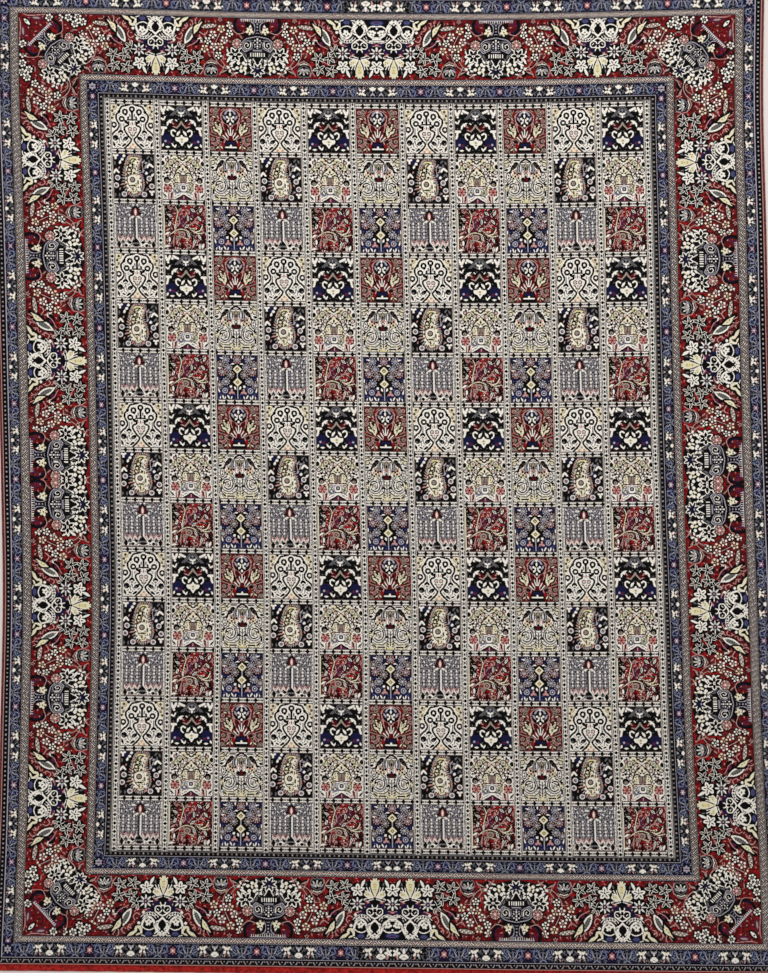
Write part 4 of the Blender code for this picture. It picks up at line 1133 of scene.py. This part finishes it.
def main_border(chart, depth, along, on_end):
    """Cartouches and vases in turn, mirrored about each; the last sprays meet under a vase at each corner."""
    in_border = (depth >= BORDER) & (depth < INNER_ZIGZAG)
    last_spray = border_half(LAST_SPRAY, False)
    for edge, (first, half) in ((on_end, CARTOUCHES_ON_END), (~on_end, CARTOUCHES_ON_SIDE)):
        here = in_border & edge
        height, place = depth[here] - BORDER, along[here]
        near = np.minimum(from_nearest(place, first, 2 * half), half - 1)
        beyond = place - first - 2 * half
        outer = last_spray[height, np.clip(beyond, 0, LAST_SPRAY - 1)]
        chart[here] = np.where(beyond > 0, outer, border_half(half, True)[height, near])
    # the middle of each end
    half = CARTOUCHES_ON_END[0]
    here = in_border & on_end & (along < half)
    middle = new_tile(half, INNER_ZIGZAG - BORDER, RED, 0, 0)
    between_lilies(middle)
    shade_ground(middle)
    chart[here] = middle.knots[depth[here] - BORDER, along[here]]
    # the corners
    for right in (False, True):
        for upper in (False, True):
            foot = ALONG - BORDER - CORNER if upper else BORDER
            left = ACROSS - BORDER - CORNER if right else BORDER
            square = slice(foot, foot + CORNER), slice(left, left + CORNER)
            t = Tile(chart[square].copy(), -CORNER / 2 if right else 0, -CORNER / 2 if upper else 0)
            corner_vase(t, -1 if right else 1, -1 if upper else 1)
            chart[square] = np.where(in_border[square], t.knots, chart[square])


def corner_vase(t, right, up):
    """A vase across a corner, over what meets there, its foot outward; right and up, 1 or -1, point in."""
    turn = right * (90 - 45 * up)
    t.at(0, 0, turn, pair=True)
    t.patch(RED, (0, 0), (60, 60), (0, 52), (-60, 60), smooth=False)
    t.blossoms(WHITE, BEIGE, BLACK, 3.8, (33, 38), (33, 47), (40, 51), (40, 44), (26, 32), (19, 24.6),
               count=6)
    t.leaves(PLUM, 6, 14, (9.6, 16, 40))
    t.leaves(BEIGE, 2.4, 8, (9.6, 16, 40))
    t.leaves(BLACK, 5.4, 11, (0, 12, 0))
    t.leaves(WHITE, 3.2, 8.6, (0, 12, 0))
    t.dots(BLACK, 1.0, (0, 11))
    t.lines(PINK, 0.8, [(3, 4), (6, 9), (14, 16), (19, 20)])
    vase(t.at(20 * right, 20 * up, turn, 0.95, pair=True))
    shade_ground(t)


def whole_chart():
    """The rug's rows of knots from the lower end up: its bands, mitred at the corners, round the field."""
    chart = np.zeros((ALONG, ACROSS), np.uint8)
    place = bands()
    narrow_bands(chart, *place)
    guards(chart, *place)
    main_border(chart, *place)
    chart[FIELD:-FIELD, FIELD:-FIELD] = field_chart()
    return chart


def lie_of(u, v):
    """Where a point of the true rectangle lies.

    x is u plus the left and right strays at v, and y is v plus the lower and upper strays at u, each pair
    shared out evenly over the field between them. y is less by LOWER_EXTRA times the square of the way into
    the lower bands.
    """
    along = v / (PILE_LENGTH + 2 * WEB_DEPTH) + 0.5
    across = u / (PILE_WIDTH + 2 * CORD_WIDTH) + 0.5
    right_share = np.clip(u / FIELD_WIDTH + 0.5, 0.0, 1.0)
    upper_share = np.clip(v / FIELD_LENGTH + 0.5, 0.0, 1.0)
    left, right = smooth_through(LEFT_STRAY, along), smooth_through(RIGHT_STRAY, along)
    lower, upper = smooth_through(LOWER_STRAY, across), smooth_through(UPPER_STRAY, across)
    into_lower_bands = np.clip((-v - FIELD_LENGTH / 2 - INNER_GUARDS) / OUTER_BANDS, 0.0, 1.0)
    x = u + left * (1 - right_share) + right * right_share
    y = v + lower * (1 - upper_share) + upper * upper_share
    return x, y - LOWER_EXTRA * into_lower_bands**2


def centring():
    """How far the whole rug is moved to stand its box's middle on the origin, as the frame's body has it."""
    u, v = np.meshgrid(np.linspace(-0.5, 0.5, 19), np.linspace(-0.5, 0.5, 1401))
    x, y = lie_of(u * PILE_WIDTH, v * (PILE_LENGTH + 2 * WEB_DEPTH))
    low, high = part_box("rug_body")
    return (low[0] + high[0] - x.min() - x.max()) / 2, (low[1] + high[1] - y.min() - y.max()) / 2


def lying(u, v, z):
    """Points of the rug in place: the rectangle's u, v at height z."""
    x, y = lie_of(u, v)
    return np.stack([x + SHIFT[0], y + SHIFT[1], z + 0 * x], -1)


def packed(chart):
    """Six codes for each face, one to a row of knots: the sum of dye times BASE^column, under 2^24."""
    knots = chart.reshape(ROWS, BLOCK, COLUMNS, BLOCK).astype(np.float64)
    return (knots * float(BASE) ** np.arange(BLOCK)).sum(-1).transpose(0, 2, 1)


def plain_code(dye):
    """The six codes of a face in one dye."""
    return np.full(BLOCK, float(sum(dye * BASE**i for i in range(BLOCK))))


def finish_mesh(name, points, faces, smooth, material):
    """An object from points and faces; smooth says of each face if it is shaded smooth."""
    mesh = bpy.data.meshes.new(name)
    mesh.from_pydata(points.tolist(), [], faces)
    mesh.polygons.foreach_set("use_smooth", smooth)
    mesh.materials.append(material)
    mesh.update()
    piece = bpy.data.objects.new(name, mesh)
    bpy.context.scene.collection.objects.link(piece)
    return piece


def inset(depth):
    """The mesh faces from depth knots inside the edge: first column and row, and those past the last."""
    faces = depth // BLOCK
    return faces, faces, COLUMNS - faces, ROWS - faces


def arms_of(outer, inner):
    """The four arms of a frame between two rectangles of faces: lower and upper across, then the sides."""
    left, foot, right, head = outer
    open_left, open_foot, open_right, open_head = inner
    lower, upper = (left, foot, right, open_foot), (left, open_head, right, head)
    return lower, upper, (left, open_foot, open_left, open_head), (open_right, open_foot, right, open_head)


def walls(ring, below):
    """Quads from a closed ring of points down to the points that are below places on in the list."""
    ahead = np.roll(ring, -1)
    return np.stack([ring, ring + below, ahead + below, ahead], -1)


def add_map(piece, label, values):
    """A UV map from one u, v to a face corner."""
    layer = piece.data.uv_layers.new(name=label)
    layer.data.foreach_set("uv", values.ravel().astype(np.float32))


def add_run_map(piece, at_points):
    """A map in metres along the piece and across it, for patterns that follow it."""
    corner_of = np.empty(len(piece.data.loops), np.int32)
    piece.data.loops.foreach_get("vertex_index", corner_of)
    add_map(piece, "run", at_points[corner_of])


def knotted_piece(name, outer, inner, height, base, face_up, material):
    """A closed slab over a rectangle of faces, or the frame left between it and an inner one.

    The knotted side is a grid of quads at height(u, v), each with its six codes and a block map from 0 to 1;
    walls join it to the plain side at base, which is one flat polygon, or four round an opening.
    """
    left, foot, right, head = outer
    wide, high = right - left, head - foot
    across, along = np.arange(left, right + 1) / COLUMNS - 0.5, np.arange(foot, head + 1) / ROWS - 0.5
    u, v = np.meshgrid(across * PILE_WIDTH, along * PILE_LENGTH)
    knotted = lying(u, v, height(u, v)).reshape(-1, 3)
    plain = lying(u, v, np.full_like(u, base)).reshape(-1, 3)
    below = len(knotted)
    number = np.arange(below).reshape(high + 1, wide + 1)
    shown = np.ones((high, wide), bool)
    if inner:
        shown[inner[1] - foot : inner[3] - foot, inner[0] - left : inner[2] - left] = False
    row, column = np.nonzero(shown)

    def rim(rect):
        west, south, east, north = np.subtract(rect, (left, foot, left, foot))
        lower, upper = number[south, west:east], number[north, east:west:-1]
        return np.concatenate([lower, number[south:north, east], upper, number[north:south:-1, west]])

    rims = [rim(outer)] + ([rim(inner)[::-1]] if inner else [])
    way = 1 if face_up else -1
    corners_of = number[:-1, :-1], number[:-1, 1:], number[1:, 1:], number[1:, :-1]
    quads = np.stack(corners_of, -1)[shown][:, ::way]
    sides = np.concatenate([walls(ring, below) for ring in rims])[:, ::way]
    floors = []
    for rect in arms_of(outer, inner) if inner else (outer,):
        ring = rim(rect)
        ring = ring[np.isin(ring, np.concatenate(rims))] + below
        floors.append(ring[::-way].tolist())
    used = np.zeros(2 * below, bool)
    used[quads] = used[sides] = True
    renumber = np.cumsum(used) - 1
    faces = [renumber[face].tolist() for face in quads.tolist() + sides.tolist() + floors]
    points = np.concatenate([knotted, plain])[used]
    piece = finish_mesh(name, points, faces, np.arange(len(faces)) < len(quads), material)
    # the codes
    edge_codes = np.repeat(plain_code(BROWN)[None], len(faces) - len(quads), 0)
    all_codes = np.concatenate([CODES[foot:head, left:right][shown], edge_codes])
    for label, part in (("lower_rows", all_codes[:, :CODES_IN_VECTOR]),
                        ("upper_rows", all_codes[:, CODES_IN_VECTOR:])):
        layer = piece.data.attributes.new(label, "FLOAT_VECTOR", "FACE")
        layer.data.foreach_set("vector", part.ravel())
    # the maps: one block of knots, and the whole piece spread out for one picture
    corner = np.array([(0, 0), (1, 0), (1, 1), (0, 1)], float)[::way]
    if inner:
        place = unrolled(outer, inner, row + foot, column + left, corner)
    else:
        place = within_map((np.stack([column, row], -1)[:, None] + corner) / (wide, high))
    corners, knotted_corners = len(piece.data.loops), 4 * len(quads)
    block_map, whole_map = np.full((corners, 2), 0.5), np.full((corners, 2), 0.995)
    block_map[:knotted_corners] = np.tile(corner, (len(quads), 1))
    whole_map[:knotted_corners] = place.reshape(-1, 2)
    add_map(piece, "block", block_map)
    add_map(piece, "OFBake", whole_map)
    piece.data.uv_layers.active = piece.data.uv_layers["OFBake"]
    return piece


def within_map(place):
    """Places from 0 to 1 moved in from the map's edges, with a free strip for the faces without knots."""
    return place * 0.985 + 0.003


def unrolled(outer, inner, row, column, corner):
    """A frame's faces spread over a square: its four arms end to end, cut into lengths side by side."""
    wide = outer[2] - outer[0]
    from_left, from_foot = column - outer[0], row - outer[1]
    lower, upper, left = row < inner[1], row >= inner[3], column < inner[0]
    side_length = inner[3] - inner[1]
    flat = lower | upper
    on_side = np.where(left, from_left, column - inner[2])
    across = np.where(lower, from_foot, np.where(upper, row - inner[3], on_side))
    start = np.select([lower, upper, left], [0, wide, 2 * wide], 2 * wide + side_length)
    far = start + np.where(flat, from_left, row - inner[1])
    total = 2 * wide + 2 * side_length
    pitch = inner[0] - outer[0] + 1
    cut = int(np.ceil(np.sqrt(total * pitch)))
    strips = -(-total // cut)
    turned = np.where(flat[:, None, None], corner[None, :, ::-1], corner[None])
    x = (far // cut * pitch + across)[:, None] + turned[..., 0]
    y = (far % cut)[:, None] + turned[..., 1]
    return within_map(np.stack([x / (strips * pitch), y / cut], -1))


def pile_height(u, v):
    """The pile's top: PILE_TOP less 0.4 mm, plus slow waves over u and v.

    The waves are two sines of 0.25 and 0.20 mm and a product of two sines of 0.12 mm. Within 6 mm of the
    rug's own edge the top sinks, by EDGE_DROP times the square of 1 - distance / 6 mm.
    """
    wave = 0.00025 * np.sin(3.1 * u + 1.7 * v + 0.6) + 0.00020 * np.sin(7.3 * v - 4.2 * u + 2.0)
    wave += 0.00012 * np.sin(15.1 * u + 0.4) * np.sin(12.7 * v + 1.1)
    inward = np.minimum(PILE_WIDTH / 2 - np.abs(u), PILE_LENGTH / 2 - np.abs(v))
    return PILE_TOP + wave - 0.0004 - EDGE_DROP * np.clip(1 - inward / 0.006, 0, 1) ** 2


def back_height(u, v):
    """The underside: zero everywhere, flat on the floor."""
    return 0 * u


def web(name, end, material):
    """A flat-woven end: a closed strip along u from 3 mm under the pile out to 0.6 mm short of WEB_DEPTH.

    The outer edge wavers by 0.4 mm, a product of two sines of u. The top is 0.3 mm under WEB_TOP, ribbed
    along u by a sine of 0.12 mm, and sinks over its last fifth by 1 mm times the square of the way into it.
    """
    steps, across = 512, 6
    u = np.linspace(-PILE_WIDTH / 2, PILE_WIDTH / 2, steps + 1)
    inner_v = PILE_LENGTH / 2 - 0.003
    outer_v = PILE_LENGTH / 2 + WEB_DEPTH - 0.0006 + 0.0004 * np.sin(u * 97) * np.sin(u * 31 + 1)
    share = np.linspace(0, 1, across + 1)
    v = end * (inner_v + (outer_v[:, None] - inner_v) * share)
    ribs = 0.00012 * np.sin(u * 900)[:, None]
    top = WEB_TOP - 0.0003 - 0.0010 * np.clip((share - 0.8) / 0.2, 0, 1) ** 2 + ribs
    grid_u = np.repeat(u[:, None], across + 1, 1)
    upper, lower = lying(grid_u, v, top + 0 * v), lying(grid_u, v, 0 * v)
    count = upper[..., 0].size
    number = np.arange(count).reshape(steps + 1, across + 1)
    quads = np.stack([number[:-1, :-1], number[1:, :-1], number[1:, 1:], number[:-1, 1:]], -1).reshape(-1, 4)
    ring = np.concatenate([number[:-1, 0], number[-1, :-1], number[:0:-1, -1], number[0, :0:-1]])
    sides = walls(ring, count)
    if end < 0:
        quads, sides = quads[:, ::-1], sides[:, ::-1]
    faces = np.concatenate([quads, quads[:, ::-1] + count, sides]).tolist()
    points = np.concatenate([upper.reshape(-1, 3), lower.reshape(-1, 3)])
    piece = finish_mesh(name, points, faces, np.arange(len(faces)) < len(quads), material)
    add_run_map(piece, np.concatenate([np.stack([grid_u, np.abs(v)], -1).reshape(-1, 2)] * 2))
    return piece


def selvedge(name, side, material):
    """A side cord wrapped in wool: an oval ring carried along the edge, swelling once for each wrap.

    Half width and half height are each times 0.97 - 0.11 (1 - |sin of the wrap's phase|), plus a jitter of
    0.03 by a product of two sines. The wraps lean by a third of a turn, and the underside lies on the floor.
    """
    wraps, per_wrap, around = 830, 3, 10
    length = PILE_LENGTH + 2 * WEB_DEPTH
    v = np.linspace(-length / 2, length / 2, wraps * per_wrap + 1)
    edge_x, edge_y = lie_of(np.full_like(v, side * PILE_WIDTH / 2), v)
    turn = 2 * np.pi * (np.arange(around) + 0.5) / around
    phase = np.pi * (np.arange(len(v))[:, None] / per_wrap + 0.33 * np.cos(turn))
    jitter = 0.03 * np.sin(v * 211)[:, None] * np.sin(v * 57 + 2)[:, None]
    swell = 1 - 0.11 * (1 - np.abs(np.sin(phase))) + jitter - 0.03
    middle = edge_x + side * (SEAT_GAP + CORD_WIDTH / 2)
    x = middle[:, None] + CORD_WIDTH / 2 * swell * np.cos(turn) + SHIFT[0]
    z = CORD_HEIGHT / 2 * (1 + swell * np.sin(turn))
    y = np.repeat(edge_y[:, None], around, 1) + SHIFT[1]
    z = z - z.min(1, keepdims=True) * (np.sin(turn) < 0)
    points = np.stack([x, y, z], -1).reshape(-1, 3)
    j, i = np.meshgrid(np.arange(len(v) - 1), np.arange(around), indexing="ij")
    here, ahead = j * around + i, j * around + (i + 1) % around
    quads = np.stack([here, here + around, ahead + around, ahead], -1).reshape(-1, 4)
    last = (len(v) - 1) * around
    faces = quads.tolist() + [list(range(around)), list(range(last + around - 1, last - 1, -1))]
    piece = finish_mesh(name, points, faces, np.arange(len(faces)) < len(quads), material)
    run, round_it = np.repeat(v[:, None], around, 1), np.tile(turn * 0.001, (len(v), 1))
    add_run_map(piece, np.stack([run, round_it], -1).reshape(-1, 2))
    return piece


# --- materials: helpers that place nodes


def linear(rgb):
    """A colour from 0-255 display values to the shader's linear ones."""
    share = np.array(rgb) / 255
    return (*np.where(share <= 0.04045, share / 12.92, ((share + 0.055) / 1.055) ** 2.4).tolist(), 1.0)


def node(tree, kind, settings=(), **inputs):
    """Adds a node with its own settings; inputs are values or sockets, by name or by place as _0, _1."""
    made = tree.nodes.new(kind)
    for key, value in dict(settings).items():
        setattr(made, key, value)
    for key, value in inputs.items():
        socket = made.inputs[int(key[1:])] if key[0] == "_" else made.inputs[key.replace("_", " ")]
        if isinstance(value, bpy.types.NodeSocket):
            tree.links.new(value, socket)
        else:
            socket.default_value = value
    return made


def sums(tree, operation, *values):
    """One step of arithmetic in a shader, as its output socket."""
    inputs = {f"_{i}": value for i, value in enumerate(values)}
    return node(tree, "ShaderNodeMath", {"operation": operation}, **inputs).outputs[0]


def group(name, takes, gives):
    """A shader node group with named inputs and outputs, and the ends of it."""
    tree = bpy.data.node_groups.new(name, "ShaderNodeTree")
    for label, kind, value in takes:
        socket = tree.interface.new_socket(label, in_out="INPUT", socket_type=kind)
        if value is not None:
            socket.default_value = value
    for label, kind in gives:
        tree.interface.new_socket(label, in_out="OUTPUT", socket_type=kind)
    return tree, tree.nodes.new("NodeGroupInput").outputs, tree.nodes.new("NodeGroupOutput").inputs


def knot_colours():
    """Unpacks a face's codes: the knot's row picks a code, its column the digit of it that is its dye."""
    tree, _, gives = group("knot colours", [], [("Colour", "NodeSocketColor"), ("Relief", "NodeSocketFloat")])
    block = node(tree, "ShaderNodeUVMap", {"uv_map": "block"}).outputs[0]
    apart = node(tree, "ShaderNodeSeparateXYZ", _0=block)
    place = []
    for axis in (0, 1):
        grown = sums(tree, "MULTIPLY", apart.outputs[axis], float(BLOCK))
        held = sums(tree, "MINIMUM", sums(tree, "MAXIMUM", grown, 0.0), BLOCK - 0.001)
        place += [sums(tree, "FLOOR", held), sums(tree, "FRACT", grown)]
    column, in_column, row, in_row = place
    terms = []
    for label in ("lower_rows", "upper_rows"):
        vector = node(tree, "ShaderNodeAttribute", {"attribute_name": label}).outputs["Vector"]
        parts = node(tree, "ShaderNodeSeparateXYZ", _0=vector).outputs
        for k in range(CODES_IN_VECTOR):
            here = sums(tree, "COMPARE", row, float(len(terms)), 0.5)
            terms.append(sums(tree, "MULTIPLY", here, parts[k]))
    code = terms[0]
    for term in terms[1:]:
        code = sums(tree, "ADD", code, term)
    power = 1.0
    for k in range(1, BLOCK):
        step = sums(tree, "GREATER_THAN", column, k - 0.5)
        power = sums(tree, "ADD", sums(tree, "MULTIPLY", step, float(BASE**k - BASE ** (k - 1))), power)
    base = float(BASE)
    digits = sums(tree, "FLOOR", sums(tree, "DIVIDE", code, power))
    higher = sums(tree, "MULTIPLY", sums(tree, "FLOOR", sums(tree, "DIVIDE", digits, base)), base)
    dye = sums(tree, "DIVIDE", sums(tree, "ADD", sums(tree, "SUBTRACT", digits, higher), 0.5), base)
    ramp = node(tree, "ShaderNodeValToRGB", _0=dye)
    ramp.color_ramp.interpolation = "CONSTANT"
    for i, rgb in enumerate(DYES):
        stop = ramp.color_ramp.elements[0] if i == 0 else ramp.color_ramp.elements.new(i / BASE)
        stop.color = linear(rgb)
    ramp.color_ramp.elements.remove(ramp.color_ramp.elements[-1])
    bulge = [sums(tree, "SINE", sums(tree, "MULTIPLY", part, np.pi)) for part in (in_column, in_row)]
    tree.links.new(ramp.outputs[0], gives["Colour"])
    tree.links.new(sums(tree, "MULTIPLY", *bulge), gives["Relief"])
    return tree


def wool():
    """Wool's unevenness: fine fibre noise and slow bands of dye along the rug, as one factor on a colour."""
    takes = [("Colour", "NodeSocketColor", (0.5, 0.5, 0.5, 1)), ("Fibre Scale", "NodeSocketFloat", 700.0)]
    takes += [("Fibre Depth", "NodeSocketFloat", 0.25), ("Dye Drift", "NodeSocketFloat", 0.12)]
    tree, given, gives = group("wool", takes, [("Colour", "NodeSocketColor"), ("Fibre", "NodeSocketFloat")])
    place = node(tree, "ShaderNodeTexCoord").outputs["Object"]
    fibre = node(tree, "ShaderNodeTexNoise", Vector=place, Scale=given["Fibre Scale"], Detail=2.0,
                 Roughness=0.6)
    long_way = node(tree, "ShaderNodeMapping", Vector=place, Scale=(0.35, 5.0, 1.0)).outputs[0]
    drift = node(tree, "ShaderNodeTexNoise", Vector=long_way, Scale=1.6, Detail=3.0, Roughness=0.55)
    up = sums(tree, "MULTIPLY", sums(tree, "SUBTRACT", fibre.outputs[0], 0.5), given["Fibre Depth"])
    slow = sums(tree, "MULTIPLY", sums(tree, "SUBTRACT", drift.outputs[0], 0.5), given["Dye Drift"])
    factor = sums(tree, "ADD", sums(tree, "ADD", up, slow), 1.0)
    scaled = node(tree, "ShaderNodeVectorMath", {"operation": "SCALE"}, _0=given["Colour"], Scale=factor)
    tree.links.new(scaled.outputs[0], gives["Colour"])
    tree.links.new(fibre.outputs[0], gives["Fibre"])
    return tree


def new_material(name, roughness, sheen):
    """A material with matt wool's gloss, its node tree and its shader."""
    material = bpy.data.materials.new(name)
    material.use_nodes = True
    shader = material.node_tree.nodes["Principled BSDF"]
    gloss = {"Roughness": roughness, "Specular IOR Level": 0.08, "Sheen Weight": sheen,
             "Sheen Roughness": 0.5}
    for label, value in gloss.items():
        shader.inputs[label].default_value = value
    return material, material.node_tree, shader


def placed(tree, shared, **inputs):
    """A node group's outputs, where it is used with these inputs."""
    return node(tree, "ShaderNodeGroup", {"node_tree": shared}, **inputs).outputs


def finish_material(tree, shader, colour, height, strength, distance):
    """Gives the shader its colour and a bump."""
    bump = node(tree, "ShaderNodeBump", Strength=strength, Distance=distance, Height=height)
    tree.links.new(colour, shader.inputs["Base Color"])
    tree.links.new(bump.outputs[0], shader.inputs["Normal"])


def pile_material():
    """Clipped wool tufts: the knots' dyes, fibre and dye drift, and a soft bump over each knot."""
    material, tree, shader = new_material("knotted pile", 0.95, 0.02)
    colours = placed(tree, KNOTS)
    woolly = placed(tree, WOOL, Colour=colours["Colour"], Fibre_Scale=620.0, Fibre_Depth=0.5,
                    Dye_Drift=0.22)
    height = sums(tree, "ADD", sums(tree, "MULTIPLY", colours["Relief"], 0.5), woolly["Fibre"])
    finish_material(tree, shader, woolly["Colour"], height, 0.35, 0.0006)
    return material


def back_material():
    """The woven back: each knot a small firm bead, its dye duller for the cotton that shows between."""
    material, tree, shader = new_material("knotted back", 0.9, 0.05)
    colours = placed(tree, KNOTS)
    ends = {"_6": colours["Colour"], "_7": linear((150, 138, 122))}
    cotton = node(tree, "ShaderNodeMix", {"data_type": "RGBA"}, Factor=0.22, **ends)
    woolly = placed(tree, WOOL, Colour=cotton.outputs[2], Fibre_Scale=900.0, Fibre_Depth=0.3,
                    Dye_Drift=0.15)
    height = sums(tree, "ADD", colours["Relief"], sums(tree, "MULTIPLY", woolly["Fibre"], 0.3))
    finish_material(tree, shader, woolly["Colour"], height, 0.8, 0.0005)
    return material


def red_wool_material(name, rgb, strand):
    """Plain red wool yarn: strands across the run of the piece, strand metres wide, dark between them as
    painted shade.
    """
    material, tree, shader = new_material(name, 0.88, 0.15)
    run = node(tree, "ShaderNodeUVMap", {"uv_map": "run"}).outputs[0]
    scaled = node(tree, "ShaderNodeMapping", Vector=run, Scale=(1 / strand, 1 / strand, 1)).outputs[0]
    bands = {"Vector": scaled, "Scale": 0.314, "Distortion": 1.2, "Detail": 1.0, "Detail_Scale": 2.0}
    wave = node(tree, "ShaderNodeTexWave", {"bands_direction": "X"}, **bands).outputs["Fac"]
    # painted shade: the yarn darkens to 0.55 of its colour in the grooves between strands, where the wave is
    # low
    ends = {"_6": linear([c * 0.55 for c in rgb]), "_7": linear(rgb)}
    strands = node(tree, "ShaderNodeMix", {"data_type": "RGBA"}, Factor=wave, **ends)
    place = node(tree, "ShaderNodeTexCoord").outputs["Object"]
    grain = node(tree, "ShaderNodeTexNoise", Vector=place, Scale=150.0, Detail=2.0).outputs[0]
    tint = sums(tree, "SUBTRACT", sums(tree, "MULTIPLY", grain, 3.2), 0.56)
    streaked = node(tree, "ShaderNodeVectorMath", {"operation": "SCALE"}, _0=strands.outputs[2], Scale=tint)
    woolly = placed(tree, WOOL, Colour=streaked.outputs[0], Fibre_Scale=900.0, Fibre_Depth=0.5,
                    Dye_Drift=0.3)
    height = sums(tree, "ADD", wave, sums(tree, "MULTIPLY", woolly["Fibre"], 0.5))
    finish_material(tree, shader, woolly["Colour"], height, 0.6, 0.0005)
    return material


def studio(floor_level):
    """A plain pale floor, soft light from a large sheet overhead and a weaker one from the upper right."""
    bpy.ops.mesh.primitive_plane_add(size=9, location=(0, 0, floor_level))
    floor = bpy.context.object
    floor.name = "floor"
    material = bpy.data.materials.new("pale floor")
    material.use_nodes = True
    shader = material.node_tree.nodes["Principled BSDF"]
    shader.inputs["Base Color"].default_value = linear((232, 222, 218))
    shader.inputs["Roughness"].default_value = 0.6
    floor.data.materials.append(material)
    for name, power, size, place, turn in (
        ("overhead", 60, 2.4, (-0.3, 1.5, 3.3), (-0.4, -0.08, 0)),
        ("side", 22, 2.2, (2.9, 1.9, 2.4), (-0.5, 0.85, 0)),
    ):
        light = bpy.data.lights.new(name, "AREA")
        light.energy, light.size = power, size
        lamp = bpy.data.objects.new(name, light)
        lamp.location, lamp.rotation_euler = place, turn
        bpy.context.scene.collection.objects.link(lamp)
    world = bpy.data.worlds.new("studio")
    world.use_nodes = True
    sky = world.node_tree.nodes["Background"]
    sky.inputs["Color"].default_value = (1.0, 0.985, 0.97, 1)
    sky.inputs["Strength"].default_value = 0.52
    bpy.context.scene.world = world


def camera_above(centre, across_frame, distance):
    """Straight above the rug; the frame's longer side, upright, spans across_frame metres at the pile."""
    lens = bpy.data.cameras.new("camera")
    lens.sensor_fit, lens.sensor_height = "VERTICAL", 24
    lens.lens = lens.sensor_height * distance / across_frame
    eye = bpy.data.objects.new("camera", lens)
    eye.location = (centre[0], centre[1], PILE_TOP + distance)
    bpy.context.scene.collection.objects.link(eye)
    bpy.context.scene.camera = eye


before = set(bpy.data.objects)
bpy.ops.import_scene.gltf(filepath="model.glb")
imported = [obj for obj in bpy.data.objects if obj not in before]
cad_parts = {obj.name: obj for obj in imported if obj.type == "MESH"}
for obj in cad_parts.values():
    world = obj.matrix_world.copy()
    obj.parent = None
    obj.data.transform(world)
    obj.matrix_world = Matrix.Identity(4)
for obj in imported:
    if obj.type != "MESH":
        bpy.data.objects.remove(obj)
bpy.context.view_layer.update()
bpy.context.scene.view_settings.view_transform = "Standard"
SHIFT = centring()
CODES = packed(whole_chart())
KNOTS, WOOL = knot_colours(), wool()
tufted, woven_back = pile_material(), back_material()
web_red = red_wool_material("red web", (192, 38, 32), strand=0.0022)
wrap_red = red_wool_material("red wrapping", (128, 62, 58), strand=0.00306)

pile = []
for name, outer, inner in (
    ("pile_outer_guards", inset(0), inset(BORDER)),
    ("pile_main_border", inset(BORDER), inset(INNER_ZIGZAG)),
    ("pile_inner_guards", inset(INNER_ZIGZAG), inset(FIELD)),
    ("pile_field", inset(FIELD), None),
):
    pile.append(knotted_piece(name, outer, inner, pile_height, PILE_FOOT, True, tufted))
foundation = knotted_piece("foundation", inset(0), None, back_height, BACK_TOP, False, woven_back)
webs = [web("web_lower", -1, web_red), web("web_upper", 1, web_red)]
sides = [selvedge("wrapping_left", -1, wrap_red), selvedge("wrapping_right", 1, wrap_red)]

for piece in pile + [foundation] + webs:
    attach(piece, "root")
    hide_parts("rug_body")
for piece, node_name in zip(sides, ("selvedge_left", "selvedge_right")):
    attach(piece, "root")
    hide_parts(node_name)

studio(floor_level=-0.0005)
camera_above((SHIFT[0] - 0.007, SHIFT[1] - 0.0188), across_frame=2.510, distance=3.0)
